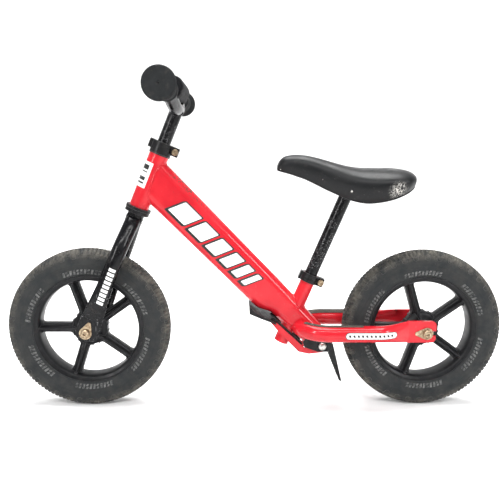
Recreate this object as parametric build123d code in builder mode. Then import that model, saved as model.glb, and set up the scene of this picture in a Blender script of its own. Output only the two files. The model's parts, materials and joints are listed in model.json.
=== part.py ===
"""Child's balance bike with a foot brake, built as separate steel, plastic and rubber pieces.

Frame of reference: +X points to the front wheel, +Y to the rider's left, +Z up.
The origin is on the ground, midway between the two wheels. Lengths are millimetres.
"""
from build123d import *
import math
import os

os.makedirs("parts", exist_ok=True)

# ---------------------------------------------------------------- driving dimensions
WHEELBASE = 584.0
WHEEL_R = 140.0
LEAN = 22.3                  # head tube and seat tube lean back from vertical, degrees
TUBE_WALL = 1.6
STEM_R = 11.1                # stem, handlebar and seat post are the same 22.2 mm tube
SLACK = 0.05                 # radial clearance of a running fit
GAP = 0.3                    # between two bodies that move past each other
SLIT = 2.0                   # slits and gaps that a clamp pinches shut

# Wheels. Profiles run from the centre plane outwards, as (distance to the left, radius).
SPOKES = 5
SPOKE_WIDTH = 16.5
SPOKE_RIB_HALF = 2.6
SPOKE_RIB = ((19, 21), (38, 16), (88, 15))           # radius and half width of the rib
WINDOW_INNER, WINDOW_OUTER = 29.0, 85.0
WINDOW_CORNER = 6.5
HUB_HALF = 31.0
HUB_BORE_R = 7.5
BEARING_R = 14.0
BEARING_WIDTH = 8.0
RIM_PROFILE = ((0, HUB_BORE_R), (HUB_HALF - BEARING_WIDTH, HUB_BORE_R), (HUB_HALF - BEARING_WIDTH, BEARING_R),
               (HUB_HALF, BEARING_R), (HUB_HALF, 18.0), (16, 20.5), (10, 27), (8.5, 31), (7.5, 84.5),
               (12, 86), (17.5, 87.5), (19, 90), (19, 95), (16, 95), (15.4, 89.5), (0, 89.5))
TYRE_BASE = ((0, 89.7), (15.0, 89.7), (15.7, 95.3), (18.5, 96.5))
TYRE_WALL = ((18.5, 96.5), (21.4, 104), (22.0, 113), (21.6, 123), (19.6, 131), (15, 137), (8, 139.7),
             (0, 140))

# Axle hardware, the same at both ends.
DROPOUT_HALF = 34.0          # inner face of each dropout from the centre plane
DROPOUT_THICK = 5.0
DROPOUT_CORNER = 8.0
AXLE_BOLT_R = 4.0
AXLE_BOLT_END = 18.0         # inner end of each bolt from the centre plane
BOLT_HEAD = 5.4
BOLT_HEAD_R, BOLT_FACE_R = 7.4, 4.6
BOLT_EDGE = 2.4              # depth of the head's rounded edge
BOLT_SOCKET_R, BOLT_SOCKET = 2.9, 3.0
SPINDLE_R = 6.0
SPACER_R = 9.0
WASHER_R, WASHER_TIP_R = 10.5, 3.6
WASHER_THICK = 1.6
TAB_R = 2.0
TAB_LENGTH = 3.0
TAB_AHEAD = 17.0             # the washer's tab from the axle
# Flat ends round the axles: half width, centre, reach behind the axle, reach ahead of it.
REAR_BLADE = (19.0, -3.0, 16.0, 34.0)
FRONT_BLADE = (18.5, -1.3, 10.0, 26.0)

# Fork and steering. Heights are measured along the steering axis, from beside the front axle.
FORK_OFFSET = 2.0            # front axle ahead of the steering axis
STEERER_R = 14.3
HEAD_TUBE_R, HEAD_BORE_R = 16.8, 15.0
CROWN_BOTTOM = 196.0
CROWN_FLOOR = 4.0            # thickness of the steerer's closed end
RACE_BOTTOM, RACE_TOP = 219.0, 225.0
RACE_R = 21.0
HEAD_BOTTOM, HEAD_TOP = 230.0, 324.5
BUSH_SLEEVE = 16.0
UPPER_FLANGE, UPPER_FLANGE_R = 1.7, 18.2
LOWER_FLANGE, LOWER_FLANGE_R = 4.5, 21.5
STEERER_TOP = 346.0
STEERER_SLIT_BOTTOM = 328.5
# Fork leg: height, ahead of the steering axis, from the centre plane, half sizes along X and Y.
LEG_SECTIONS = (
    (213.0, 0.0, 4.0, 10.5, 10.5),
    (206.0, 0.0, 10.0, 12.5, 12.5),
    (190.0, 0.0, 20.0, 12.7, 12.7),
    (170.0, 0.0, 31.0, 12.7, 12.9),
    (150.0, 0.0, 38.0, 12.7, 12.7),
    (125.0, 0.0, 41.0, 12.8, 12.6),
    (95.0, 0.0, 41.0, 13.2, 12.0),
    (62.0, 0.3, 40.0, 15.2, 9.6),
    (40.0, 0.6, 37.6, 17.0, 5.2),
    (22.0, 0.8, 36.5, 18.4, 2.4),
)

# Pinch clamps. Heights are along the clamped tube; ears point back, a boss points forward.
EAR_HALF = 8.0
BOSS_WIDTH = 13.0
CLAMP_CORNER = 1.5
CLAMP_BOLT_R = 2.5
CLAMP_HEAD_R, CLAMP_HEAD = 5.4, 4.0
CLAMP_SOCKET_R, CLAMP_SOCKET = 2.6, 2.4
CLAMP_NUT_R = 5.0
STEM_CLAMP = dict(bottom=326.5, top=346.0, ear_bottom=331.0, outer=18.2, ear_reach=29.0, boss_reach=23.0,
                  bolt_back=23.5, bolt_height=338.5)
SEAT_CLAMP = dict(bottom=35.5, top=50.5, ear_bottom=35.5, outer=16.2, ear_reach=26.0, boss_reach=19.0,
                  bolt_back=20.5, bolt_height=43.0)

# Handlebar. "Ahead" is measured from the steering axis, heights along it.
STEM_BOTTOM = 262.0
BAR_HEIGHT = 404.5           # handlebar centre where the stem meets it
BAR_HALF = 184.0
BAR_DIP_HALF, BAR_RISE_HALF = 26.0, 82.0     # the bar rises between these distances from the middle
BAR_BEND_R = 100.0
GRIP_HEIGHT = 423.0          # grip centreline
GRIP_AHEAD = 14.0
GRIP_INNER, GRIP_OUTER = 95.0, 190.5
GRIP_HOLE_R = 1.5
GRIP_PROFILE = ((GRIP_INNER, STEM_R), (GRIP_INNER, 17.5), (GRIP_INNER + 4, 17.5), (GRIP_INNER + 6, 15.2),
                (140, 16.0), (180, 15.4), (183, 17), (183, 23), (184.5, 24), (189, 24),
                (GRIP_OUTER, 23), (GRIP_OUTER, GRIP_HOLE_R), (BAR_HALF, GRIP_HOLE_R), (BAR_HALF, STEM_R))
CROSSBAR_HEIGHT = 431.5
CROSSBAR_AHEAD = 12.5
CROSSBAR_HALF = 74.0
CROSSBAR_R, CROSSBAR_WALL = 6.0, 1.2
PAD_HALF, PAD_R = 68.0, 21.5

# The main tube falls towards the rear; distances along it start at the steering axis.
MAIN_SLOPE = 45.2
MAIN_JOIN = 285.0            # height on the steering axis where its centreline starts
MAIN_HALF_WIDTH = 15.5
MAIN_LENGTH = 392.0
MAIN_WALL = 2.0
MAIN_END_WALL = 6.0
KNEE, PINCH = 284.0, 316.0   # the underside steps up between these distances
KNEE_STEPS = 6
MAIN_TOP = (-34.0, -31.5, -28.0)     # upper limit at the head, the knee and the end
MAIN_LOW = (34.0, 31.0, 15.5)        # lower limit at the same places
MAIN_LOW_PINCH = 19.0

# Heights on the seat tube are measured along its axis, from this point on the centre plane.
SEAT_AXIS_X, SEAT_AXIS_Z = -74.6, 190.0
SEAT_TUBE_R = 12.7
SEAT_TUBE_BOTTOM, SEAT_TUBE_TOP = -82.0, 50.0
SEAT_SLIT_BOTTOM = 24.0
POST_BOTTOM, POST_TOP = -32.0, 240.0

# Rear stays.
STAY_R = 14.0
STAY_HALF = 51.0             # stay centreline from the centre plane
STAY_Z = 143.0
STAY_BEND_X = -124.0         # centre of the bend at the front of each stay
STAY_FLAT_X = -205.0         # where each stay starts to flatten
# Flattened end of a stay: x, half height, half thickness and centre from the centre plane.
STAY_END = (
    (STAY_FLAT_X, STAY_R, STAY_R, STAY_HALF),
    (STAY_FLAT_X - 15, 14.6, 12.6, 49.6),
    (STAY_FLAT_X - 30, 16.0, 9.4, 45.6),
    (STAY_FLAT_X - 44, 17.8, 5.8, 40.6),
    (STAY_FLAT_X - 56, 19.0, 2.8, 36.9),
)
TAPE_REAR_X = -178.0
TAPE_THICK = 0.8
TAPE_BEND = 54.0             # how far the tape follows the bend, degrees
TAPE_OUTER, TAPE_INNER = 20.0, 42.0  # how far it reaches down each side of the tube's top, degrees

# Saddle stations: x, half width, lower rim, crown of the top.
SADDLE = (
    (-33, 9, 414, 424),
    (-38, 15, 412.5, 434),
    (-50, 20, 410, 441),
    (-75, 24, 402, 441.5),
    (-112, 33, 384, 432.5),
    (-150, 48, 368, 423),
    (-187, 60, 363.5, 418.5),
    (-224, 64, 374, 417),
    (-250, 54, 389, 412),
    (-263, 36, 396.5, 407),
)
PAD_DEPTH = 14.0
SHELL_WALL = 4.0
SHELL_LOW, SHELL_HIGH = 0.8, 0.92    # share of the half width at the shell's rim and at its top
# Upper outline of the pad: shares of the half width and of the pad's height.
PAD_OUTLINE = ((-0.92, 0), (-0.78, 0.55), (-0.4, 0.94), (0, 1), (0.4, 0.94), (0.78, 0.55), (0.92, 0))
PLATE_TOP = 396.0
PLATE_THICK = 3.0
PLATE_LENGTH, PLATE_WIDTH = 58.0, 42.0
PLATE_CORNER = 6.0
PLATE_SCREW_SPAN = (44.0, 28.0)      # spacing of the four saddle screws
PLATE_HOLE_R = 2.6
SADDLE_SCREW_R = 2.0
SADDLE_SCREW_DEPTH = 6.0             # how far the screws reach into the base
SCREW_HEAD_R, SCREW_HEAD = 4.5, 3.0
BASE_BOSS = 30.0                     # height of the solid boss above the plate
BASE_BOSS_MARGIN = 6.0

# Foot brake. Outlines are (x, z) points.
PIVOT_X, PIVOT_Z = -114.5, 111.5
PIVOT_R = 4.0
BRACKET_HALF = 23.5          # outer faces of the bracket's cheeks
CHEEK = 3.0
CHEEK_CORNER = 2.0
BRACKET_BACK, BRACKET_BACK_CENTRE = 26.0, 4.0
BRACKET_SCREW_Y = 8.0
BRACKET_SCREW_R, BRACKET_HOLE_R = 2.5, 2.6
BRACKET_SCREW_DEPTH = 7.0
BRACKET_SCREW_HEAD = 2.6
ARM_OUTER, ARM_INNER = 19.5, 16.5
ARM_CORNER = 1.5
LEVER_TUBE_R = 8.0
LEVER_SLEEVE_END = 20.1
TIP_ROD_X, TIP_ROD_Z, TIP_ROD_R = 1.5, 170.0, 1.9
PEDAL_HALF, PEDAL_CORNER = 32.0, 0.8
TONGUE_HALF, TONGUE_CORNER = 13.0, 0.6
TONGUE_SIDE = 2.0            # thickness of the tongue's folded edges
TONGUE_COLLAR_HALF, TONGUE_COLLAR_R = 6.5, 11.0
SPRING_WIRE_R, SPRING_R = 0.8, 9.2
SPRING_START_Y, SPRING_LENGTH, SPRING_PITCH = 7.6, 5.2, 1.9
PIVOT_HEAD_R, PIVOT_EDGE = 7.0, 1.2
PIVOT_DOME = ((3.7, 4.6), (4.6, 1.5))        # height above the bracket and radius
PIVOT_TAIL = 8.0
NUT_R, NUT_HEIGHT = 7.2, 6.5
CHEEK_OUTLINE = ((-80, 118), (-86, 127), (-98, 131), (-120, 124.5), (-131, 119), (-131.5, 107),
                 (-122, 101.5), (-107, 101.5), (-91, 107), (-83, 110))
ARM_OUTLINE = ((-106, 118), (-92, 110.5), (-84, 107), (-37, 150), (-24, 159.3), (-8, 166), (6, 173.5),
               (6, 169), (-8, 163), (-24, 153), (-38, 136), (-73, 100.5), (-91, 96.5), (-114, 99),
               (-123, 105), (-124, 113), (-119, 120), (-112, 121.5))
PEDAL_OUTLINE = ((14, 185), (14, 172), (-6, 163.5), (-23, 157.2), (-34, 152), (-31, 156.2), (-22, 161.8),
                 (-8, 168), (4, 175.3))
TONGUE_OUTLINE = ((-126.5, 118), (-131.5, 117), (-135.2, 111.5), (-152.2, 43.5), (-149.2, 42.8),
                  (-132.3, 110.4), (-130, 113.5), (-126.5, 114))
TONGUE_SIDE_OUTLINE = ((-131.5, 113), (-151, 43.8), (-147.5, 44.5), (-135.5, 74), (-128.6, 90), (-126, 104),
                       (-127.5, 113))
# Rails of the pedal that run down the inner faces of the lever's arms.
RAIL_OUTER, RAIL_INNER = 16.3, 13.3
RAIL_OUTLINE = ((-20, 160), (-29, 162.2), (-80.5, 114.6), (-77, 108), (-40, 141), (-20, 156))
NECK_OUTLINE = ((-116, 121), (-128, 118), (-128, 113.2), (-116, 113.2))

CUT = 30.0                   # how far a cutter reaches past what it cuts

FRONT_X = WHEELBASE / 2
REAR_X = -WHEELBASE / 2
lean = math.radians(LEAN)
slope = math.radians(MAIN_SLOPE)
PLATE_X = SEAT_AXIS_X - (PLATE_TOP - SEAT_AXIS_Z) * math.tan(lean)

# ---------------------------------------------------------------- reference planes
# Both leaning planes have +X forward, +Y left and +Z up along their axis.
LEAN_FORWARD = (math.cos(lean), 0, math.sin(lean))
LEAN_UP = (-math.sin(lean), 0, math.cos(lean))
steer = Plane(
    origin=(FRONT_X - FORK_OFFSET * math.cos(lean), 0, WHEEL_R - FORK_OFFSET * math.sin(lean)),
    x_dir=LEAN_FORWARD,
    z_dir=LEAN_UP,
)
seat = Plane(origin=(SEAT_AXIS_X, 0, SEAT_AXIS_Z), x_dir=LEAN_FORWARD, z_dir=LEAN_UP)
# The main tube's plane has +Z down along the tube, +X left and +Y towards its underside.
main = Plane(
    origin=steer.from_local_coords((0, 0, MAIN_JOIN)),
    x_dir=(0, 1, 0),
    z_dir=(-math.cos(slope), 0, -math.sin(slope)),
)


def side_plane(y, x=0.0, z=0.0):
    """Plane facing the rider's right, with +X forward and +Y up, at distance y to the left."""
    return Plane(origin=(x, y, z), x_dir=(1, 0, 0), z_dir=(0, -1, 0))


def cross_plane(x):
    """Plane across the bike at x, facing forward, with +X left and +Y up."""
    return Plane(origin=(x, 0, 0), x_dir=(0, 1, 0), z_dir=(1, 0, 0))


def save(part, name):
    """Label a finished part and write its STEP file."""
    part.label = name
    export_step(part, f"parts/{name}.step")


def largest(part):
    """The biggest solid of a part, without the scraps that a mitre leaves."""
    return Part(part.solids().sort_by(SortBy.VOLUME)[-1].wrapped)


def tube(plane, bottom, top, outer, inner=0.0):
    """Round tube along a plane's Z axis; an inner radius of 0 makes a solid bar."""
    with BuildPart() as piece:
        with BuildSketch(plane.offset(bottom)):
            Circle(outer)
            if inner > 0:
                Circle(inner, mode=Mode.SUBTRACT)
        extrude(amount=top - bottom)
    return piece.part


def cross_tube(x, z, left, right, outer, inner=0.0):
    """Tube or pin that runs across the bike from y = left down to y = right."""
    return tube(side_plane(left, x, z), 0, left - right, outer, inner)


def side_plate(outline, left, right, round_off=0.0):
    """Plate cut to a closed outline of (x, z) points, between y = left and y = right."""
    with BuildPart() as plate:
        with BuildSketch(side_plane(left)) as sketch:
            with BuildLine():
                Polyline(*outline, close=True)
            make_face()
            if round_off > 0:
                fillet(sketch.vertices(), round_off)
        extrude(amount=left - right)
    return plate.part


# ---------------------------------------------------------------- main tube
def main_limits(distance):
    """Upper and lower limits of the main tube at a distance along it."""
    if distance <= KNEE:
        share = max(distance, 0) / KNEE
        return (MAIN_TOP[0] + share * (MAIN_TOP[1] - MAIN_TOP[0]),
                MAIN_LOW[0] + share * (MAIN_LOW[1] - MAIN_LOW[0]))
    share = (distance - KNEE) / (MAIN_LENGTH - KNEE)
    top = MAIN_TOP[1] + share * (MAIN_TOP[2] - MAIN_TOP[1])
    if distance <= PINCH:
        step = (distance - KNEE) / (PINCH - KNEE)
        ease = step * step * (3 - 2 * step)
        return top, MAIN_LOW[1] + ease * (MAIN_LOW_PINCH - MAIN_LOW[1])
    taper = (distance - PINCH) / (MAIN_LENGTH - PINCH)
    return top, MAIN_LOW_PINCH + taper * (MAIN_LOW[2] - MAIN_LOW_PINCH)


def main_loft(start, end, wall):
    """Main tube body between two distances, drawn in all round by the wall thickness."""
    knee_steps = [KNEE + (PINCH - KNEE) * step / KNEE_STEPS for step in range(KNEE_STEPS + 1)]
    spans = [([start, KNEE], True), (knee_steps, False), ([PINCH, end], True)]
    with BuildPart() as body:
        for stations, straight in spans:
            for distance in stations:
                top, bottom = main_limits(distance)
                with BuildSketch(main.offset(distance)):
                    with Locations((0, (top + bottom) / 2)):
                        SlotOverall(bottom - top - 2 * wall, 2 * (MAIN_HALF_WIDTH - wall), rotation=90)
            loft(ruled=straight)
    return body.part


def make_main_tube():
    """Flattened oval tube, mitred to the head tube and pierced by the seat tube."""
    body = main_loft(0, MAIN_LENGTH, 0)
    hollow = main_loft(-MAIN_END_WALL, MAIN_LENGTH - MAIN_END_WALL, MAIN_WALL)
    head = tube(steer, HEAD_BOTTOM - 2 * CUT, HEAD_TOP + 2 * CUT, HEAD_TUBE_R)
    seat_tube = tube(seat, SEAT_TUBE_BOTTOM - CUT, SEAT_TUBE_TOP + CUT, SEAT_TUBE_R)
    with BuildPart() as main_tube:
        add(body)
        add(hollow, mode=Mode.SUBTRACT)
        add(head, mode=Mode.SUBTRACT)
        add(seat_tube, mode=Mode.SUBTRACT)
        with BuildSketch(main.offset(MAIN_LENGTH - 2 * MAIN_END_WALL)):
            with Locations((-BRACKET_SCREW_Y, 0), (BRACKET_SCREW_Y, 0)):
                Circle(BRACKET_SCREW_R)
        extrude(amount=3 * MAIN_END_WALL, mode=Mode.SUBTRACT)
    return largest(main_tube.part)


def make_head_tube():
    return tube(steer, HEAD_BOTTOM, HEAD_TOP, HEAD_TUBE_R, HEAD_BORE_R)


# ---------------------------------------------------------------- seat tube and stays
def make_seat_tube():
    bore = STEM_R + SLACK
    body = tube(seat, SEAT_TUBE_BOTTOM, SEAT_TUBE_TOP, SEAT_TUBE_R, bore)
    with BuildPart() as seat_tube:
        add(body)
        # slit at the back, so that the collar can pinch the tube
        with BuildSketch(seat.offset(SEAT_SLIT_BOTTOM)):
            with Locations((-SEAT_TUBE_R, 0)):
                Rectangle(STEM_R, SLIT)
        extrude(amount=CUT, mode=Mode.SUBTRACT)
    return seat_tube.part


def stay_sweep(side, outer, inner, start_x, bend_angle, band=None):
    """Tube along a stay's line; a band keeps only its top, between two angles from upright."""
    with BuildPart() as swept:
        with BuildLine(Plane.XY.offset(STAY_Z)) as path:
            Line((start_x, side * STAY_HALF), (STAY_BEND_X, side * STAY_HALF))
            JernArc((STAY_BEND_X, side * STAY_HALF), (1, 0), STAY_HALF, -side * bend_angle)
        with BuildSketch(Plane(origin=(start_x, side * STAY_HALF, STAY_Z), x_dir=(0, 1, 0),
                               z_dir=(1, 0, 0))):
            Circle(outer)
            if inner > 0:
                Circle(inner, mode=Mode.SUBTRACT)
            if band:
                reach = 2 * outer
                away, towards = (side * reach * math.tan(math.radians(angle)) for angle in band)
                Polygon((0, 0), (away, reach), (-towards, reach), align=None, mode=Mode.INTERSECT)
        sweep(path=path.line)
    return swept.part


def pressed_end(planes, sizes, wall):
    """Loft through ellipses, drawn in by the wall; each size is (half across, half deep)."""
    with BuildPart() as end:
        for plane, (across, deep) in zip(planes, sizes):
            with BuildSketch(plane):
                Ellipse(across - wall, deep - wall)
        loft()
    return end.part


def make_stay(side):
    """Rear stay: welded to the main tube in front, pressed flat round the axle behind."""
    planes = [Plane(origin=(x, side * centre, STAY_Z), x_dir=(0, 1, 0), z_dir=(-1, 0, 0))
              for x, tall, thick, centre in STAY_END]
    sizes = [(thick, tall) for x, tall, thick, centre in STAY_END]
    straight = stay_sweep(side, STAY_R, 0, STAY_FLAT_X, 90)
    straight_bore = stay_sweep(side, STAY_R - TUBE_WALL, 0, STAY_FLAT_X, 90)
    end = pressed_end(planes, sizes, 0)
    end_bore = pressed_end(planes[:-1], sizes[:-1], TUBE_WALL)
    flat = blade(rear_axle_plane, side, *REAR_BLADE)
    body = main_loft(0, MAIN_LENGTH, 0)
    seat_tube = tube(seat, SEAT_TUBE_BOTTOM - CUT, SEAT_TUBE_TOP, SEAT_TUBE_R)
    tab_hole = tab_hole_cutter(rear_axle_plane, side)
    with BuildPart() as stay:
        add(straight)
        add(end)
        add(straight_bore, mode=Mode.SUBTRACT)
        add(end_bore, mode=Mode.SUBTRACT)
        add(flat)
        add(body, mode=Mode.SUBTRACT)
        add(seat_tube, mode=Mode.SUBTRACT)
        add(tab_hole, mode=Mode.SUBTRACT)
    return largest(stay.part)


def make_footrest_tape(side):
    """Grit tape on top of a stay, where the rider's foot rests."""
    return stay_sweep(side, STAY_R + TAPE_THICK, STAY_R, TAPE_REAR_X, TAPE_BEND, (TAPE_OUTER, TAPE_INNER))


# ---------------------------------------------------------------- axle hardware
def front_axle_plane(y):
    """Side plane at the front axle, with +Y up the fork leg."""
    return Plane(origin=steer.from_local_coords((FORK_OFFSET, y, 0)), x_dir=LEAN_FORWARD, z_dir=(0, -1, 0))


def rear_axle_plane(y):
    """Side plane at the rear axle, with +Y forward along the stay."""
    return Plane(origin=(REAR_X, y, WHEEL_R), x_dir=(0, 0, -1), z_dir=(0, -1, 0))


def outward(side, inner, thick):
    """Where a sheet that lies from inner to inner + thick starts, for extruding towards -Y."""
    return inner + thick if side > 0 else -inner


def blade(axle_plane, side, half_width, centre, behind, ahead):
    """Flat dropout with a slot open to its end."""
    with BuildPart() as plate:
        with BuildSketch(axle_plane(outward(side, DROPOUT_HALF, DROPOUT_THICK))) as sketch:
            with Locations((centre, (ahead - behind) / 2)):
                Rectangle(2 * half_width, ahead + behind)
            fillet(sketch.vertices().group_by(Axis.Y)[0], DROPOUT_CORNER)
            Circle(AXLE_BOLT_R + 4 * SLACK, mode=Mode.SUBTRACT)
            with Locations((0, -behind)):
                Rectangle(2 * AXLE_BOLT_R + 8 * SLACK, 2 * behind, mode=Mode.SUBTRACT)
        extrude(amount=DROPOUT_THICK)
    return plate.part


def tab_hole_cutter(axle_plane, side):
    """Round cutter for the hole that the retention washer's tab hooks into."""
    length = DROPOUT_THICK + 2 * TAB_LENGTH
    with BuildPart() as cutter:
        with BuildSketch(axle_plane(outward(side, DROPOUT_HALF - TAB_LENGTH, length))):
            with Locations((0, TAB_AHEAD)):
                Circle(TAB_R + 2 * SLACK)
        extrude(amount=length)
    return cutter.part


def make_retention_washers(axle_plane):
    """Teardrop washers whose tab hooks into the dropout."""
    dropout_outer = DROPOUT_HALF + DROPOUT_THICK
    with BuildPart() as washers:
        for side in (1, -1):
            with BuildSketch(axle_plane(outward(side, dropout_outer, WASHER_THICK))):
                Circle(WASHER_R)
                with Locations((0, TAB_AHEAD)):
                    Circle(WASHER_TIP_R)
                make_hull()
                Circle(AXLE_BOLT_R + 2 * SLACK, mode=Mode.SUBTRACT)
            extrude(amount=WASHER_THICK)
            with BuildSketch(axle_plane(outward(side, dropout_outer - TAB_LENGTH, TAB_LENGTH))):
                with Locations((0, TAB_AHEAD)):
                    Circle(TAB_R)
            extrude(amount=TAB_LENGTH)
    return washers.part


def make_axle_bolts(x):
    """Button-head bolts that thread into the spindle from both sides."""
    seat_y = DROPOUT_HALF + DROPOUT_THICK + WASHER_THICK
    head_y = seat_y + BOLT_HEAD
    with BuildPart() as bolts:
        for side in (1, -1):
            with BuildSketch(Plane(origin=(x, 0, WHEEL_R), x_dir=(0, side, 0), z_dir=(side, 0, 0))):
                with BuildLine():
                    Polyline((head_y, 0), (AXLE_BOLT_END, 0), (AXLE_BOLT_END, AXLE_BOLT_R),
                             (seat_y, AXLE_BOLT_R), (seat_y, BOLT_HEAD_R), (head_y - BOLT_EDGE, BOLT_HEAD_R))
                    RadiusArc((head_y - BOLT_EDGE, BOLT_HEAD_R), (head_y, BOLT_FACE_R), 4.0)
                    Line((head_y, BOLT_FACE_R), (head_y, 0))
                make_face()
            revolve(axis=Axis((x, 0, WHEEL_R), (0, 1, 0)))
            socket_y = head_y if side > 0 else BOLT_SOCKET - head_y
            with BuildSketch(side_plane(socket_y, x, WHEEL_R)):
                RegularPolygon(BOLT_SOCKET_R, 6)
            extrude(amount=BOLT_SOCKET, mode=Mode.SUBTRACT)
    return bolts.part


def make_spindle(x):
    return cross_tube(x, WHEEL_R, DROPOUT_HALF, -DROPOUT_HALF, SPINDLE_R, AXLE_BOLT_R)


def make_spacers(x):
    """Rings that hold the wheel's bearings off the dropouts."""
    with BuildPart() as spacers:
        for y in (DROPOUT_HALF, -HUB_HALF - GAP):
            with BuildSketch(side_plane(y, x, WHEEL_R)):
                Circle(SPACER_R)
                Circle(SPINDLE_R, mode=Mode.SUBTRACT)
            extrude(amount=DROPOUT_HALF - HUB_HALF - GAP)
    return spacers.part


# ---------------------------------------------------------------- wheels
def wheel_plane(x):
    """Plane across the bike at an axle, with +X left and +Y up the wheel's radius."""
    return Plane(origin=(x, 0, WHEEL_R), x_dir=(0, 1, 0), z_dir=(1, 0, 0))


def make_rim(x):
    """One-piece moulded wheel: hub, ribbed spokes and a channel for the tyre."""
    window_apex = SPOKE_WIDTH / 2 / math.sin(math.pi / SPOKES)
    reach = WHEEL_R
    spread = reach * math.tan(math.pi / SPOKES)
    with BuildPart() as rim:
        with BuildSketch(wheel_plane(x)):
            with BuildLine():
                half = Polyline(*RIM_PROFILE)
                mirror(half, about=Plane.YZ)
            make_face()
        revolve(axis=Axis((x, 0, WHEEL_R), (0, 1, 0)))
        for spoke in range(SPOKES):
            angle = 2 * math.pi * (spoke + 0.5) / SPOKES
            bisector = Plane(origin=(x, 0, WHEEL_R), x_dir=(math.cos(angle), 0, math.sin(angle)),
                             z_dir=(0, -1, 0))
            with BuildSketch(bisector) as window:
                Circle(WINDOW_OUTER)
                Circle(WINDOW_INNER, mode=Mode.SUBTRACT)
                Polygon((window_apex, 0), (window_apex + reach, -spread), (window_apex + reach, spread),
                        align=None, mode=Mode.INTERSECT)
                fillet(window.vertices(), WINDOW_CORNER)
            extrude(amount=CUT, both=True, mode=Mode.SUBTRACT)
        for spoke in range(SPOKES):
            angle = 2 * math.pi * spoke / SPOKES
            along = Plane(origin=(x, 0, WHEEL_R), x_dir=(math.cos(angle), 0, math.sin(angle)),
                          z_dir=(-math.sin(angle), 0, math.cos(angle)))
            with BuildSketch(along):
                upper = [(radius, half) for radius, half in SPOKE_RIB]
                lower = [(radius, -half) for radius, half in reversed(SPOKE_RIB)]
                Polygon(*upper, *lower, align=None)
            extrude(amount=SPOKE_RIB_HALF, both=True)
    return rim.part


def make_tyre(x):
    """Solid foam tyre that sits in the rim's channel."""
    with BuildPart() as tyre:
        with BuildSketch(wheel_plane(x)):
            with BuildLine():
                base = Polyline(*TYRE_BASE)
                wall = Spline(*TYRE_WALL, tangents=[(1, 1.4), (-1, 0)])
                mirror(base, about=Plane.YZ)
                mirror(wall, about=Plane.YZ)
            make_face()
        revolve(axis=Axis((x, 0, WHEEL_R), (0, 1, 0)))
    return tyre.part


def make_bearings(x):
    """Two sealed cartridge bearings in the hub."""
    with BuildPart() as bearings:
        for y in (HUB_HALF, -HUB_HALF + BEARING_WIDTH):
            with BuildSketch(side_plane(y, x, WHEEL_R)):
                Circle(BEARING_R)
                Circle(SPINDLE_R + SLACK, mode=Mode.SUBTRACT)
            extrude(amount=BEARING_WIDTH)
    return bearings.part


# ---------------------------------------------------------------- fork and steering
def make_fork_leg(side):
    """Fork leg: a round tube that leaves the crown, then flattens to a slotted blade."""
    planes = []
    for height, ahead, centre, half_x, half_y in LEG_SECTIONS:
        planes.append(Plane(origin=steer.from_local_coords((ahead, side * centre, height)),
                            x_dir=LEAN_FORWARD, z_dir=LEAN_UP))
    sizes = [(half_x, half_y) for height, ahead, centre, half_x, half_y in LEG_SECTIONS]
    outside = pressed_end(planes, sizes, 0)
    inside = pressed_end(planes[1:-1], sizes[1:-1], TUBE_WALL)
    crown = tube(steer, CROWN_BOTTOM, HEAD_BOTTOM, STEERER_R)
    flat = blade(front_axle_plane, side, *FRONT_BLADE)
    tab_hole = tab_hole_cutter(front_axle_plane, side)
    with BuildPart() as leg:
        add(outside)
        add(inside, mode=Mode.SUBTRACT)
        add(flat)
        add(crown, mode=Mode.SUBTRACT)
        add(tab_hole, mode=Mode.SUBTRACT)
    return largest(leg.part)


def make_steerer():
    """Steerer tube with a closed lower end and a slotted top."""
    body = tube(steer, CROWN_BOTTOM, STEERER_TOP, STEERER_R)
    bore = tube(steer, CROWN_BOTTOM + CROWN_FLOOR, STEERER_TOP + CUT, STEM_R + SLACK)
    with BuildPart() as steerer:
        add(body)
        add(bore, mode=Mode.SUBTRACT)
        with BuildSketch(steer.offset(STEERER_SLIT_BOTTOM)):
            with Locations((-STEERER_R, 0)):
                Rectangle(STEM_R, SLIT)
        extrude(amount=CUT, mode=Mode.SUBTRACT)
    return steerer.part


def flanged_bush(flange_bottom, flange_top, flange_r, sleeve_bottom, sleeve_top):
    """Plastic headset bush: a sleeve inside the head tube and a flange at its end."""
    bore = STEERER_R + SLACK
    sleeve = tube(steer, sleeve_bottom, sleeve_top, HEAD_BORE_R, bore)
    flange = tube(steer, flange_bottom, flange_top, flange_r, bore)
    with BuildPart() as bush:
        add(sleeve)
        add(flange)
    return bush.part


def clamp_collar(plane, bore, bottom, top, ear_bottom, outer, ear_reach, boss_reach,
                 bolt_back, bolt_height):
    """Split collar: pinch ears behind with a bolt hole through them, and a boss in front."""
    bolt_start = plane.from_local_coords((-bolt_back, 2 * EAR_HALF, bolt_height))
    with BuildPart() as collar:
        with BuildSketch(plane.offset(bottom)):
            Circle(outer)
        extrude(amount=top - bottom)
        with BuildSketch(plane.offset(ear_bottom)):
            with Locations((-ear_reach / 2, 0)):
                RectangleRounded(ear_reach, 2 * EAR_HALF, CLAMP_CORNER)
            with Locations((boss_reach / 2, 0)):
                RectangleRounded(boss_reach, BOSS_WIDTH, CLAMP_CORNER)
        extrude(amount=top - ear_bottom)
        with BuildSketch(plane.offset(bottom)):
            Circle(bore)
            with Locations((-ear_reach / 2, 0)):
                Rectangle(ear_reach + 2 * SLIT, SLIT)
        extrude(amount=top - bottom, mode=Mode.SUBTRACT)
        with BuildSketch(Plane(origin=bolt_start, x_dir=LEAN_FORWARD, z_dir=(0, -1, 0))):
            Circle(CLAMP_BOLT_R + 2 * SLACK)
        extrude(amount=4 * EAR_HALF, mode=Mode.SUBTRACT)
    return collar.part


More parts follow.
